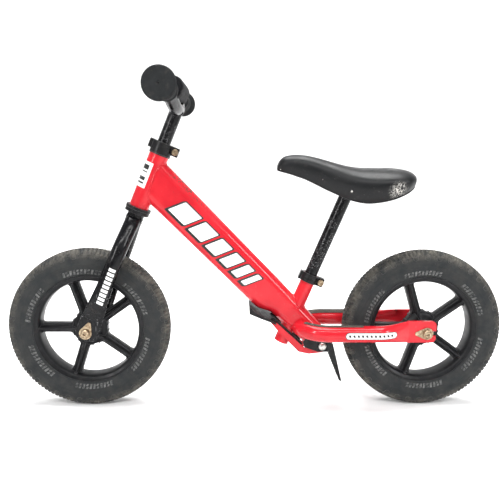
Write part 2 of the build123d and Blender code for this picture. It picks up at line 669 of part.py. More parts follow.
def clamp_bolt(plane, bolt_back, bolt_height):
    """Socket-head bolt across a collar's ears, with a round barrel nut; two solids."""
    x, y, z = plane.from_local_coords((-bolt_back, 0, bolt_height))
    shank = cross_tube(x, z, EAR_HALF, -EAR_HALF - 1, CLAMP_BOLT_R)
    with BuildPart() as bolt:
        add(shank)
        with BuildSketch(side_plane(EAR_HALF + CLAMP_HEAD, x, z)):
            Circle(CLAMP_HEAD_R)
        extrude(amount=CLAMP_HEAD)
        chamfer(bolt.faces().sort_by(Axis.Y)[-1].edges(), CLAMP_HEAD / 5)
        with BuildSketch(side_plane(EAR_HALF + CLAMP_HEAD, x, z)):
            RegularPolygon(CLAMP_SOCKET_R, 6)
        extrude(amount=CLAMP_SOCKET, mode=Mode.SUBTRACT)
        with BuildSketch(side_plane(-EAR_HALF, x, z)):
            Circle(CLAMP_NUT_R)
            Circle(CLAMP_BOLT_R, mode=Mode.SUBTRACT)
        extrude(amount=CLAMP_HEAD)
    return bolt.part


# ---------------------------------------------------------------- handlebar
def bar_point(ahead, y, height):
    return steer.from_local_coords((ahead, y, height))


def bar_sweep(outer, inner=0.0):
    """Handlebar tube: dips to the stem in the middle and runs straight through the grips."""
    left = ((GRIP_AHEAD, BAR_HALF, GRIP_HEIGHT), (GRIP_AHEAD, BAR_RISE_HALF, GRIP_HEIGHT),
            (0, BAR_DIP_HALF, BAR_HEIGHT))
    right = [(ahead, -y, height) for ahead, y, height in reversed(left)]
    points = [bar_point(*corner) for corner in (*left, *right)]
    with BuildPart() as bar:
        with BuildLine() as path:
            FilletPolyline(*points, radius=BAR_BEND_R)
        with BuildSketch(Plane(origin=points[0], x_dir=(1, 0, 0), z_dir=(0, -1, 0))):
            Circle(outer)
            if inner > 0:
                Circle(inner, mode=Mode.SUBTRACT)
        sweep(path=path.line)
    return bar.part


def make_stem():
    """Stem tube, mitred to the underside of the handlebar."""
    body = tube(steer, STEM_BOTTOM, BAR_HEIGHT, STEM_R, STEM_R - TUBE_WALL)
    bar = bar_sweep(STEM_R + SLACK)
    with BuildPart() as stem:
        add(body)
        add(bar, mode=Mode.SUBTRACT)
    return largest(stem.part)


def make_crossbar():
    """Thin brace across the dip of the handlebar, under the pad."""
    x, y, z = bar_point(CROSSBAR_AHEAD, 0, CROSSBAR_HEIGHT)
    body = cross_tube(x, z, CROSSBAR_HALF, -CROSSBAR_HALF, CROSSBAR_R, CROSSBAR_R - CROSSBAR_WALL)
    bar = bar_sweep(STEM_R)
    with BuildPart() as crossbar:
        add(body)
        add(bar, mode=Mode.SUBTRACT)
    return largest(crossbar.part)


def make_bar_pad():
    """Foam roll round the crossbar, notched where the handlebar passes."""
    x, y, z = bar_point(CROSSBAR_AHEAD, 0, CROSSBAR_HEIGHT)
    roll = cross_tube(x, z, PAD_HALF, -PAD_HALF, PAD_R, CROSSBAR_R + 4 * SLACK)
    bar = bar_sweep(STEM_R + GAP)
    with BuildPart() as pad:
        add(roll)
        add(bar, mode=Mode.SUBTRACT)
    return largest(pad.part)


def make_grip(side):
    """Closed-end rubber grip with a wide safety flange at its outer end."""
    x, y, z = bar_point(GRIP_AHEAD, 0, GRIP_HEIGHT)
    with BuildPart() as grip:
        with BuildSketch(Plane(origin=(x, 0, z), x_dir=(0, side, 0), z_dir=(side, 0, 0))):
            with BuildLine():
                Polyline(*GRIP_PROFILE, close=True)
            make_face()
        revolve(axis=Axis((x, 0, z), (0, 1, 0)))
    return grip.part


# ---------------------------------------------------------------- saddle and post
def saddle_split(bottom, top):
    """Height where the soft pad starts above the hard base."""
    return top - min(PAD_DEPTH, 0.5 * (top - bottom))


def base_loft(inset, drop):
    """Saddle base between rim and pad; drop opens it below and lowers its ceiling."""
    with BuildPart() as base:
        for x, half, bottom, top in SADDLE:
            split = saddle_split(bottom, top)
            low, high = bottom - drop, split - drop
            with BuildSketch(cross_plane(x)):
                with BuildLine():
                    Polyline((inset - SHELL_LOW * half, low), (inset - half, (low + high) / 2),
                             (inset - SHELL_HIGH * half, high), (SHELL_HIGH * half - inset, high),
                             (half - inset, (low + high) / 2), (SHELL_LOW * half - inset, low), close=True)
                make_face()
        loft(ruled=True)
    return base.part


def make_saddle_base():
    """Hard shell under the pad, open below, with a thick boss above the post plate."""
    shell = base_loft(0, 0)
    hollow = base_loft(SHELL_WALL, SHELL_WALL)
    with BuildPart() as base:
        with BuildSketch(Plane.XY.offset(PLATE_TOP)):
            with Locations((PLATE_X, 0)):
                Rectangle(PLATE_LENGTH + BASE_BOSS_MARGIN, PLATE_WIDTH + BASE_BOSS_MARGIN)
        extrude(amount=BASE_BOSS)
        add(shell, mode=Mode.INTERSECT)
        boss = base.part
    with BuildPart() as hull:
        add(shell)
        add(hollow, mode=Mode.SUBTRACT)
        add(boss)
        with BuildSketch(Plane.XY.offset(PLATE_TOP)):
            with Locations((PLATE_X, 0)):
                with GridLocations(*PLATE_SCREW_SPAN, 2, 2):
                    Circle(SADDLE_SCREW_R)
        extrude(amount=SADDLE_SCREW_DEPTH, mode=Mode.SUBTRACT)
    return largest(hull.part)


def make_saddle_pad():
    """Soft pad on top of the saddle base."""
    with BuildPart() as pad:
        for x, half, bottom, top in SADDLE:
            foot = saddle_split(bottom, top) + GAP
            outline = [(across * half, foot + rise * (top - foot)) for across, rise in PAD_OUTLINE]
            with BuildSketch(cross_plane(x)):
                with BuildLine():
                    Polyline(*outline, close=True)
                make_face()
        loft(ruled=True)
    return pad.part


def make_seat_plate():
    """Steel plate welded on top of the seat post, drilled for the saddle screws."""
    with BuildPart() as plate:
        with BuildSketch(Plane.XY.offset(PLATE_TOP - PLATE_THICK)):
            with Locations((PLATE_X, 0)):
                RectangleRounded(PLATE_LENGTH, PLATE_WIDTH, PLATE_CORNER)
                with GridLocations(*PLATE_SCREW_SPAN, 2, 2):
                    Circle(PLATE_HOLE_R, mode=Mode.SUBTRACT)
        extrude(amount=PLATE_THICK)
    return plate.part


def make_saddle_screws():
    """Four pan-head screws up through the plate into the saddle base."""
    with BuildPart() as screws:
        with BuildSketch(Plane.XY.offset(PLATE_TOP - PLATE_THICK - SCREW_HEAD)):
            with Locations((PLATE_X, 0)):
                with GridLocations(*PLATE_SCREW_SPAN, 2, 2):
                    Circle(SCREW_HEAD_R)
        extrude(amount=SCREW_HEAD)
        with BuildSketch(Plane.XY.offset(PLATE_TOP - PLATE_THICK)):
            with Locations((PLATE_X, 0)):
                with GridLocations(*PLATE_SCREW_SPAN, 2, 2):
                    Circle(SADDLE_SCREW_R)
        extrude(amount=PLATE_THICK + SADDLE_SCREW_DEPTH)
    return screws.part


def make_seat_post():
    """Seat post, cut off level under the seat plate."""
    body = tube(seat, POST_BOTTOM, POST_TOP, STEM_R, STEM_R - TUBE_WALL)
    with BuildPart() as post:
        add(body)
        split(bisect_by=Plane.XY.offset(PLATE_TOP - PLATE_THICK), keep=Keep.BOTTOM)
    return post.part


# ---------------------------------------------------------------- foot brake
def make_brake_bracket():
    """Black steel fork that carries the brake pivot, screwed to the end of the main tube."""
    left = side_plate(CHEEK_OUTLINE, BRACKET_HALF, BRACKET_HALF - CHEEK, CHEEK_CORNER)
    right = side_plate(CHEEK_OUTLINE, CHEEK - BRACKET_HALF, -BRACKET_HALF, CHEEK_CORNER)
    hole = cross_tube(PIVOT_X, PIVOT_Z, CUT, -CUT, PIVOT_R)
    with BuildPart() as bracket:
        with BuildSketch(main.offset(MAIN_LENGTH)):
            with Locations((0, BRACKET_BACK_CENTRE)):
                Rectangle(2 * BRACKET_HALF, BRACKET_BACK)
            with Locations((-BRACKET_SCREW_Y, 0), (BRACKET_SCREW_Y, 0)):
                Circle(BRACKET_HOLE_R, mode=Mode.SUBTRACT)
        extrude(amount=CHEEK)
        add(left)
        add(right)
        add(hole, mode=Mode.SUBTRACT)
    return bracket.part


def make_bracket_screws():
    """Two screws through the bracket into the main tube's end."""
    with BuildPart() as screws:
        with BuildSketch(main.offset(MAIN_LENGTH - BRACKET_SCREW_DEPTH)):
            with Locations((-BRACKET_SCREW_Y, 0), (BRACKET_SCREW_Y, 0)):
                Circle(BRACKET_SCREW_R)
        extrude(amount=BRACKET_SCREW_DEPTH + CHEEK)
        with BuildSketch(main.offset(MAIN_LENGTH + CHEEK)):
            with Locations((-BRACKET_SCREW_Y, 0), (BRACKET_SCREW_Y, 0)):
                Circle(SCREW_HEAD_R)
        extrude(amount=BRACKET_SCREW_HEAD)
    return screws.part


def make_brake_lever():
    """Red lever: two arms that pass either side of the seat tube, joined at pivot and tip."""
    left = side_plate(ARM_OUTLINE, ARM_OUTER, ARM_INNER, ARM_CORNER)
    right = side_plate(ARM_OUTLINE, -ARM_INNER, -ARM_OUTER, ARM_CORNER)
    sleeve = cross_tube(PIVOT_X, PIVOT_Z, LEVER_SLEEVE_END, -LEVER_SLEEVE_END, LEVER_TUBE_R)
    bore = cross_tube(PIVOT_X, PIVOT_Z, CUT, -CUT, PIVOT_R + SLACK)
    rod = cross_tube(TIP_ROD_X, TIP_ROD_Z, ARM_OUTER, -ARM_OUTER, TIP_ROD_R)
    with BuildPart() as lever:
        add(left)
        add(right)
        add(sleeve)
        add(rod)
        add(bore, mode=Mode.SUBTRACT)
    return lever.part


def make_brake_pedal(lever):
    """Moulded foot pad that caps the tip of the lever and runs down between its arms."""
    block = side_plate(PEDAL_OUTLINE, PEDAL_HALF, -PEDAL_HALF, PEDAL_CORNER)
    left_rail = side_plate(RAIL_OUTLINE, RAIL_OUTER, RAIL_INNER)
    right_rail = side_plate(RAIL_OUTLINE, -RAIL_INNER, -RAIL_OUTER)
    with BuildPart() as pedal:
        add(block)
        add(left_rail)
        add(right_rail)
        add(lever, mode=Mode.SUBTRACT)
    return largest(pedal.part)


def make_brake_tongue():
    """Sprung steel tongue that swings back on to the rear tyre."""
    leaf = side_plate(TONGUE_OUTLINE, TONGUE_HALF, -TONGUE_HALF, TONGUE_CORNER)
    neck = side_plate(NECK_OUTLINE, TONGUE_COLLAR_HALF, -TONGUE_COLLAR_HALF)
    collar = cross_tube(PIVOT_X, PIVOT_Z, TONGUE_COLLAR_HALF, -TONGUE_COLLAR_HALF, TONGUE_COLLAR_R)
    bore = cross_tube(PIVOT_X, PIVOT_Z, CUT, -CUT, LEVER_TUBE_R)
    near_edge = side_plate(TONGUE_SIDE_OUTLINE, TONGUE_HALF, TONGUE_HALF - TONGUE_SIDE)
    far_edge = side_plate(TONGUE_SIDE_OUTLINE, TONGUE_SIDE - TONGUE_HALF, -TONGUE_HALF)
    with BuildPart() as tongue:
        add(leaf)
        add(near_edge)
        add(far_edge)
        add(neck)
        add(collar)
        add(bore, mode=Mode.SUBTRACT)
    return tongue.part


def make_return_spring():
    """Coil of the torsion spring round the lever's sleeve."""
    with BuildPart() as spring:
        with BuildLine() as path:
            Helix(pitch=SPRING_PITCH, height=SPRING_LENGTH, radius=SPRING_R,
                  center=(PIVOT_X, SPRING_START_Y, PIVOT_Z), direction=(0, 1, 0))
        with BuildSketch(Plane(origin=path.line @ 0, z_dir=path.line % 0)):
            Circle(SPRING_WIRE_R)
        sweep(path=path.line, is_frenet=True)
    return spring.part


def make_pivot_bolt():
    """Dome-head bolt that the brake lever turns on."""
    head_y = BRACKET_HALF
    tail_y = -BRACKET_HALF - PIVOT_TAIL
    edge = (head_y + PIVOT_EDGE, PIVOT_HEAD_R)
    shoulder, crown = [(head_y + rise, radius) for rise, radius in PIVOT_DOME]
    with BuildPart() as bolt:
        with BuildSketch(Plane(origin=(PIVOT_X, 0, PIVOT_Z), x_dir=(0, 1, 0), z_dir=(1, 0, 0))):
            with BuildLine():
                Polyline(crown, (crown[0], 0), (tail_y, 0), (tail_y, PIVOT_R), (head_y, PIVOT_R),
                         (head_y, PIVOT_HEAD_R), edge)
                ThreePointArc(edge, shoulder, crown)
            make_face()
        revolve(axis=Axis((PIVOT_X, 0, PIVOT_Z), (0, 1, 0)))
    return bolt.part


def make_pivot_nut():
    """Hexagon lock nut on the pivot bolt."""
    with BuildPart() as nut:
        with BuildSketch(side_plane(-BRACKET_HALF, PIVOT_X, PIVOT_Z)):
            RegularPolygon(NUT_R, 6)
            Circle(PIVOT_R, mode=Mode.SUBTRACT)
        extrude(amount=NUT_HEIGHT)
    return nut.part


# ---------------------------------------------------------------- build and write every piece
save(make_head_tube(), "head_tube")
save(make_main_tube(), "main_tube")
save(make_seat_tube(), "seat_tube")
upper_bush = flanged_bush(HEAD_TOP, HEAD_TOP + UPPER_FLANGE, UPPER_FLANGE_R, HEAD_TOP - BUSH_SLEEVE, HEAD_TOP)
lower_bush = flanged_bush(HEAD_BOTTOM - LOWER_FLANGE, HEAD_BOTTOM, LOWER_FLANGE_R, HEAD_BOTTOM,
                          HEAD_BOTTOM + BUSH_SLEEVE)
save(upper_bush, "headset_upper_bush")
save(lower_bush, "headset_lower_bush")
save(tube(steer, RACE_BOTTOM, RACE_TOP, RACE_R, STEERER_R), "crown_race")
save(make_steerer(), "steerer_tube")
for side, hand in ((1, "left"), (-1, "right")):
    save(make_stay(side), f"rear_stay_{hand}")
    save(make_footrest_tape(side), f"footrest_tape_{hand}")
    save(make_fork_leg(side), f"fork_leg_{hand}")
    save(make_grip(side), f"grip_{hand}")

for x, end, axle_plane in ((FRONT_X, "front", front_axle_plane), (REAR_X, "rear", rear_axle_plane)):
    save(make_rim(x), f"{end}_rim")
    save(make_tyre(x), f"{end}_tyre")
    save(make_bearings(x), f"{end}_bearings")
    save(make_spindle(x), f"{end}_spindle")
    save(make_spacers(x), f"{end}_spacers")
    save(make_retention_washers(axle_plane), f"{end}_retention_washers")
    save(make_axle_bolts(x), f"{end}_axle_bolts")

save(clamp_collar(steer, STEERER_R, **STEM_CLAMP), "stem_clamp")
save(clamp_bolt(steer, STEM_CLAMP["bolt_back"], STEM_CLAMP["bolt_height"]), "stem_clamp_bolt")
save(clamp_collar(seat, SEAT_TUBE_R, **SEAT_CLAMP), "seat_clamp")
save(clamp_bolt(seat, SEAT_CLAMP["bolt_back"], SEAT_CLAMP["bolt_height"]), "seat_clamp_bolt")

save(bar_sweep(STEM_R, STEM_R - TUBE_WALL), "handlebar")
save(make_stem(), "handlebar_stem")
save(make_crossbar(), "handlebar_crossbar")
save(make_bar_pad(), "handlebar_pad")

save(make_seat_post(), "seat_post")
save(make_seat_plate(), "seat_plate")
save(make_saddle_base(), "saddle_base")
save(make_saddle_pad(), "saddle_pad")
save(make_saddle_screws(), "saddle_screws")

lever = make_brake_lever()
save(lever, "brake_lever")
save(make_brake_bracket(), "brake_bracket")
save(make_bracket_screws(), "brake_bracket_screws")
save(make_brake_pedal(lever), "brake_pedal")
save(make_brake_tongue(), "brake_tongue")
save(make_return_spring(), "brake_return_spring")
save(make_pivot_bolt(), "brake_pivot_bolt")
save(make_pivot_nut(), "brake_pivot_nut")
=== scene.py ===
"""Looks of a child's balance bike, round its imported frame. Sizes are millimetres unless said."""
import json
import math

import bmesh
import bpy
import numpy as np
from mathutils import Matrix, Vector
from mathutils.bvhtree import BVHTree


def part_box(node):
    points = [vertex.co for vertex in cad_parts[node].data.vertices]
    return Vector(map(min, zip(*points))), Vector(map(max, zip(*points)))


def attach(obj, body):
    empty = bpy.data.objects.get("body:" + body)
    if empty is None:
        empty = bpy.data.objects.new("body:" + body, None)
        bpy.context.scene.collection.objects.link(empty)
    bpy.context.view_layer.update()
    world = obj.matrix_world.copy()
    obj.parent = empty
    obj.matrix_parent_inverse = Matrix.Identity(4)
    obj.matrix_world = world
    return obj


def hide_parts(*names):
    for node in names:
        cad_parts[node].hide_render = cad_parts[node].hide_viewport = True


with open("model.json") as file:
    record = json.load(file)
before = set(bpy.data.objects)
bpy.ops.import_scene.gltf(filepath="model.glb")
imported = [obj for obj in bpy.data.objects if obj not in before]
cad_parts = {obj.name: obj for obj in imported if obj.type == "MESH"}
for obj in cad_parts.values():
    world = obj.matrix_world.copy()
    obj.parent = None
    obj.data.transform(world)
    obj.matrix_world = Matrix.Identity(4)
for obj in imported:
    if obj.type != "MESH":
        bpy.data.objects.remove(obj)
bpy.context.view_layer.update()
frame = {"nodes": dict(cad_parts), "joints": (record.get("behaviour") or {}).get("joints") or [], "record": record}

MM = 0.001

# ---------------------------------------------------------------- places taken from the frame
joints = {joint["name"]: joint for joint in frame["joints"]}
LEFT = Vector((0, 1, 0))
UP = Vector(joints["steering"]["axis"]).normalized()        # up the head tube and the seat tube
AHEAD = LEFT.cross(UP)
AXLES = {end: Vector(joints[f"{end}_wheel_spin"]["pos_m"]) for end in ("front", "rear")}

steering_place = Vector(joints["steering"]["pos_m"])
steer_origin = steering_place + UP * (AXLES["front"] - steering_place).dot(UP)
seat_tube_low, seat_tube_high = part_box("seat_tube")
seat_origin = (seat_tube_low + seat_tube_high) / 2

MAIN_SLOPE = math.radians(45.2)
MAIN_DOWN = Vector((-math.cos(MAIN_SLOPE), 0, -math.sin(MAIN_SLOPE)))    # down along the main tube
MAIN_UNDER = Vector((math.sin(MAIN_SLOPE), 0, -math.cos(MAIN_SLOPE)))    # towards its underside
MAIN_JOIN = 285.0            # height on the steering axis where the main tube's centreline starts
MAIN_HALF_WIDTH, MAIN_HALF_HEIGHT = 15.5, 33.5


def steer_point(ahead, left, height):
    """Point beside the steering axis; height is measured from beside the front axle."""
    return steer_origin + (AHEAD * ahead + LEFT * left + UP * height) * MM


def seat_point(ahead, left, height):
    """Point beside the seat tube's axis; height is measured from the middle of the tube."""
    return seat_origin + (AHEAD * ahead + LEFT * left + UP * height) * MM


def main_point(distance, under, left):
    """Point of the main tube: distance down it, towards its underside, and to the left."""
    return steer_point(0, 0, MAIN_JOIN) + (MAIN_DOWN * distance + MAIN_UNDER * under + LEFT * left) * MM


def box_middle(low, high):
    """Middle of a box, moved to the bike's centre plane."""
    return Vector(((low.x + high.x) / 2, 0, (low.z + high.z) / 2))


def wheel_point(axle, left, radius, angle):
    """Point round an axle, or round any other line along Y."""
    return axle + Vector((radius * math.cos(angle), left, radius * math.sin(angle))) * MM


def full_turn(steps):
    """Angles spread evenly round a circle."""
    return [2 * math.pi * step / steps for step in range(steps)]


# ---------------------------------------------------------------- mesh helpers
def grid_faces(rows, columns, wrap_rows=False, wrap_columns=False, start=0):
    """Quads over a grid of points, which may close on itself in either direction."""
    faces = []
    for row in range(rows if wrap_rows else rows - 1):
        for column in range(columns if wrap_columns else columns - 1):
            across, down = (column + 1) % columns, (row + 1) % rows
            corners = ((row, column), (row, across), (down, across), (down, column))
            faces.append(tuple(start + line * columns + place for line, place in corners))
    return faces


class Shape:
    """Points and faces of one piece, gathered from several closed bodies."""

    def __init__(self):
        self.points, self.faces = [], []

    def grid(self, rows, wrap_rows=False, wrap_columns=True, caps=False):
        """Adds a skin over rows of points; caps close the first and the last row."""
        start, columns = len(self.points), len(rows[0])
        for row in rows:
            self.points.extend(tuple(point) for point in row)
        self.faces.extend(grid_faces(len(rows), columns, wrap_rows, wrap_columns, start))
        if caps:
            last = start + (len(rows) - 1) * columns
            self.faces.append(tuple(range(start, start + columns)))
            self.faces.append(tuple(range(last, last + columns)))

    def slab(self, top, bottom):
        """Adds a thin closed body between two open grids of the same size."""
        border = [(0, column) for column in range(len(top[0]))]
        border += [(row, len(top[0]) - 1) for row in range(1, len(top))]
        border += [(len(top) - 1, column) for column in range(len(top[0]) - 2, -1, -1)]
        border += [(row, 0) for row in range(len(top) - 2, 0, -1)]
        start, columns, size = len(self.points), len(top[0]), len(top) * len(top[0])
        for rows in (top, bottom):
            for row in rows:
                self.points.extend(tuple(point) for point in row)
        self.faces.extend(grid_faces(len(top), columns, start=start))
        self.faces.extend(grid_faces(len(top), columns, start=start + size))
        ring = [start + row * columns + column for row, column in border]
        for here, there in zip(ring, ring[1:] + ring[:1]):
            self.faces.append((here, there, there + size, here + size))

    def lathe(self, outline, centre, steps, closed=True):
        """Turns an outline of (left, radius) round a line along Y; an open one ends on that line."""
        rows = [[wheel_point(centre, left, radius, turn) for turn in full_turn(steps)]
                for left, radius in outline]
        self.grid(rows, wrap_rows=closed, caps=not closed)

    def build(self, name, body, finish, slot=None, sharp=None):
        """Makes the object, with outward normals, and puts it on its body."""
        mesh = bpy.data.meshes.new(name)
        mesh.from_pydata(self.points, [], self.faces)
        shaper = bmesh.new()
        shaper.from_mesh(mesh)
        bmesh.ops.remove_doubles(shaper, verts=shaper.verts, dist=1e-7)
        bmesh.ops.recalc_face_normals(shaper, faces=shaper.faces)
        shaper.to_mesh(mesh)
        shaper.free()
        mesh.shade_smooth()
        if sharp is not None:
            mesh.set_sharp_from_angle(angle=math.radians(sharp))
        piece = bpy.data.objects.new(name, mesh)
        bpy.context.scene.collection.objects.link(piece)
        piece.data.materials.append(finish)
        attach(piece, body)
        return piece


def smooth_line(points, count):
    """Points spread evenly in number along a smooth curve through the given ones."""
    given = np.array(points, float)
    padded = np.vstack([2 * given[0] - given[1], given, 2 * given[-1] - given[-2]])
    places = []
    for place in np.linspace(0, len(given) - 1, count):
        span = min(int(place), len(given) - 2)
        share = place - span
        before, start, end, after = padded[span:span + 4]
        places.append(0.5 * (2 * start + (end - before) * share
                             + (2 * before - 5 * start + 4 * end - after) * share ** 2
                             + (3 * start - before - 3 * end + after) * share ** 3))
    return np.array(places)


def surface_of(node):
    """Search tree of a CAD node's surface."""
    return BVHTree.FromObject(frame["nodes"][node], bpy.context.evaluated_depsgraph_get())


# ---------------------------------------------------------------- finishes
class Finish:
    """A procedural material, with short calls for the nodes that the finishes share."""

    def __init__(self, name, **sockets):
        self.material = bpy.data.materials.new(name)
        self.material.use_nodes = True
        self.nodes = self.material.node_tree.nodes
        self.links = self.material.node_tree.links
        self.shader = self.nodes["Principled BSDF"]
        self.place = self.nodes.new("ShaderNodeTexCoord").outputs["Object"]
        self.normal = None
        for socket, value in sockets.items():
            self.put(self.shader.inputs[socket.replace("_", " ")], value)

    def put(self, socket, value):
        """Links a socket to another, or sets its constant."""
        if isinstance(value, bpy.types.NodeSocket):
            self.links.new(value, socket)
        else:
            socket.default_value = value

    def node(self, kind, settings=None, **inputs):
        made = self.nodes.new(kind)
        for key, value in (settings or {}).items():
            setattr(made, key, value)
        for key, value in inputs.items():
            self.put(made.inputs[key.replace("_", " ")], value)
        return made

    def stretched(self, stretch):
        return self.node("ShaderNodeMapping", Vector=self.place, Scale=stretch).outputs["Vector"]

    def noise(self, size, detail=3.0, roughness=0.55, stretch=(1, 1, 1), distortion=0.0):
        """Noise whose blotches are about size millimetres across."""
        place = self.stretched(stretch) if stretch != (1, 1, 1) else self.place
        made = self.node("ShaderNodeTexNoise", Vector=place, Scale=1 / (size * MM), Detail=detail,
                         Roughness=roughness, Distortion=distortion)
        return made.outputs["Fac"]

    def cells(self, size, feature="F1", stretch=(1, 1, 1)):
        place = self.stretched(stretch) if stretch != (1, 1, 1) else self.place
        return self.node("ShaderNodeTexVoronoi", {"feature": feature}, Vector=place,
                         Scale=1 / (size * MM)).outputs["Distance"]

    def mask(self, value, low, high, to_low=0.0, to_high=1.0):
        """Smooth step of a value between two levels."""
        made = self.node("ShaderNodeMapRange", {"interpolation_type": "SMOOTHSTEP"}, Value=value)
        made.inputs["From Min"].default_value = low
        made.inputs["From Max"].default_value = high
        made.inputs["To Min"].default_value = to_low
        made.inputs["To Max"].default_value = to_high
        return made.outputs["Result"]

    def math(self, operation, first, second=0.0):
        made = self.node("ShaderNodeMath", {"operation": operation})
        self.put(made.inputs[0], first)
        self.put(made.inputs[1], second)
        return made.outputs[0]

    def mix(self, share, first, second):
        """Colour between two others, each a socket or a constant."""
        made = self.node("ShaderNodeMix", {"data_type": "RGBA"})
        self.put(made.inputs[0], share)
        for socket, colour in ((6, first), (7, second)):
            linked = isinstance(colour, bpy.types.NodeSocket)
            self.put(made.inputs[socket], colour if linked else (*colour, 1))
        return made.outputs[2]

    def bump(self, height, depth, strength=1.0):
        """Adds relief of a depth in millimetres."""
        made = self.node("ShaderNodeBump", Height=height, Distance=depth * MM, Strength=strength)
        if self.normal is not None:
            self.put(made.inputs["Normal"], self.normal)
        self.normal = made.outputs["Normal"]

    def patches(self, size, detail, roughness, low, high, share=1.0):
        """Blotches of noise that fade in between two levels, up to a share."""
        return self.mask(self.noise(size, detail, roughness), low, high, 0.0, share)

    def vector(self, operation, first, second, output="Vector"):
        """Result of a vector operation on two places, directions or sockets."""
        made = self.node("ShaderNodeVectorMath", {"operation": operation})
        self.put(made.inputs[0], first)
        self.put(made.inputs[1], second)
        return made.outputs[output]

    def edges(self, reach, share=1.0):
        """Mask of the outer edges and corners within a reach in millimetres, up to a share."""
        rounded = self.node("ShaderNodeBevel", {"samples": 6}, Radius=reach * MM).outputs["Normal"]
        flat = self.node("ShaderNodeNewGeometry").outputs["Normal"]
        return self.mask(self.vector("DOT_PRODUCT", rounded, flat, "Value"), 0.995, 0.9, 0.0, share)

    def along(self, start, direction):
        """Distance from a point along a direction, in millimetres."""
        return self.vector("DOT_PRODUCT", self.vector("SUBTRACT", self.place, start), direction / MM, "Value")

    def radius_from(self, centre):
        """Distance from a line along Y through a point, in millimetres."""
        off = self.vector("SUBTRACT", self.place, centre)
        return self.vector("LENGTH", self.vector("MULTIPLY", off, (1 / MM, 0, 1 / MM)), (0, 0, 0), "Value")

    def done(self, colour, roughness):
        """Puts the colour, roughness and relief on the shader."""
        self.put(self.shader.inputs["Base Color"], colour)
        self.put(self.shader.inputs["Roughness"], roughness)
        if self.normal is not None:
            self.put(self.shader.inputs["Normal"], self.normal)
        return self.material


def painted(name, deep, fresh, primer, chip_level, scratch_stretch, gloss, coat, rubbed):
    """Gloss paint on steel: slight unevenness, fine scratches, dust and chips down to primer."""
    finish = Finish(name, Coat_Weight=coat, Coat_Roughness=0.05, Specular_IOR_Level=0.12)
    body = finish.mix(finish.patches(60, 4, 0.55, 0.35, 0.65), deep, fresh)
    body = finish.mix(finish.patches(22, 6, 0.7, 0.58, 0.8, 0.12), body, (0.42, 0.33, 0.27))
    scratches = finish.mask(finish.noise(1.6, 2, 0.4, scratch_stretch), 0.7, 0.76)
    scratches = finish.math("MULTIPLY", scratches, finish.patches(30, 2, 0.55, 0.5, 0.62, 0.6))
    body = finish.mix(scratches, body, primer)
    wear = finish.math("MULTIPLY", finish.edges(1.6), finish.patches(5, 4, 0.6, 0.5, 0.6))
    spots = finish.patches(3.2, 3, 0.6, chip_level, chip_level + 0.02)
    spots = finish.math("MULTIPLY", spots, finish.patches(45, 2, 0.55, 0.5, 0.6))
    chips = finish.math("MAXIMUM", finish.math("MAXIMUM", wear, spots), rubbed(finish))
    bare = finish.mix(finish.noise(2, 3), primer, tuple(0.35 * part for part in primer))
    body = finish.mix(chips, body, bare)
    finish.bump(finish.noise(3.5, 2), 0.02, 0.5)
    finish.bump(finish.math("SUBTRACT", 1.0, chips), 0.12, 0.8)
    smooth = finish.mask(finish.noise(14, 4), 0.3, 0.8, gloss, gloss + 0.16)
    return finish.done(body, finish.math("MAXIMUM", smooth, finish.math("MULTIPLY", chips, 0.75)))


def rubbed_main_tube(finish):
    """Chips along the top of the main tube, just behind the head tube."""
    start = main_point(0, 0, 0)
    near = finish.mask(finish.along(start, MAIN_DOWN), 14, 30)
    far = finish.mask(finish.along(start, MAIN_DOWN), 92, 112, 1.0, 0.0)
    high = finish.mask(finish.along(start, MAIN_UNDER), -30, -23, 1.0, 0.0)
    specks = finish.patches(3.4, 3, 0.65, 0.54, 0.57)
    return finish.math("MULTIPLY", finish.math("MULTIPLY", near, far), finish.math("MULTIPLY", high, specks))


def rubbed_posts(finish):
    """Speckles of rust and bare steel on the seat post and the stem."""
    height = finish.along(seat_origin, UP)
    above = finish.math("MULTIPLY", finish.mask(height, 66, 72), finish.mask(height, 90, 220, 1.0, 0.45))
    patches = finish.patches(16, 3, 0.55, 0.4, 0.6)
    specks = finish.patches(2.2, 4, 0.7, 0.57, 0.61)
    return finish.math("MULTIPLY", above, finish.math("MULTIPLY", patches, specks))


def red_paint():
    return painted("red_paint", (0.50, 0.011, 0.020), (0.62, 0.018, 0.028), (0.10, 0.05, 0.04), 0.69,
                   (1, 1, 0.08), 0.14, 0.4, rubbed_main_tube)


def black_paint():
    return painted("black_paint", (0.0035, 0.0035, 0.004), (0.006, 0.006, 0.007), (0.36, 0.36, 0.37), 0.7,
                   (1, 1, 0.06), 0.18, 0.16, rubbed_posts)


def moulded(name, dark, light, dusty, dust_share, rough, grain):
    """Moulded black plastic: fine grain, dust in patches and paler worn edges."""
    finish = Finish(name, Specular_IOR_Level=0.2)
    body = finish.mix(finish.noise(25, 5), dark, light)
    body = finish.mix(finish.edges(1.2, 0.35), body, (0.16, 0.16, 0.165))
    body = finish.mix(finish.patches(11, 7, 0.7, 0.45, 0.75, dust_share), body, dusty)
    finish.bump(finish.noise(0.5, 2), grain, 0.35)
    finish.bump(finish.noise(9, 3), 0.12, 0.3)
    return finish.done(body, finish.mask(finish.noise(13, 5), 0.25, 0.75, rough, rough + 0.2))


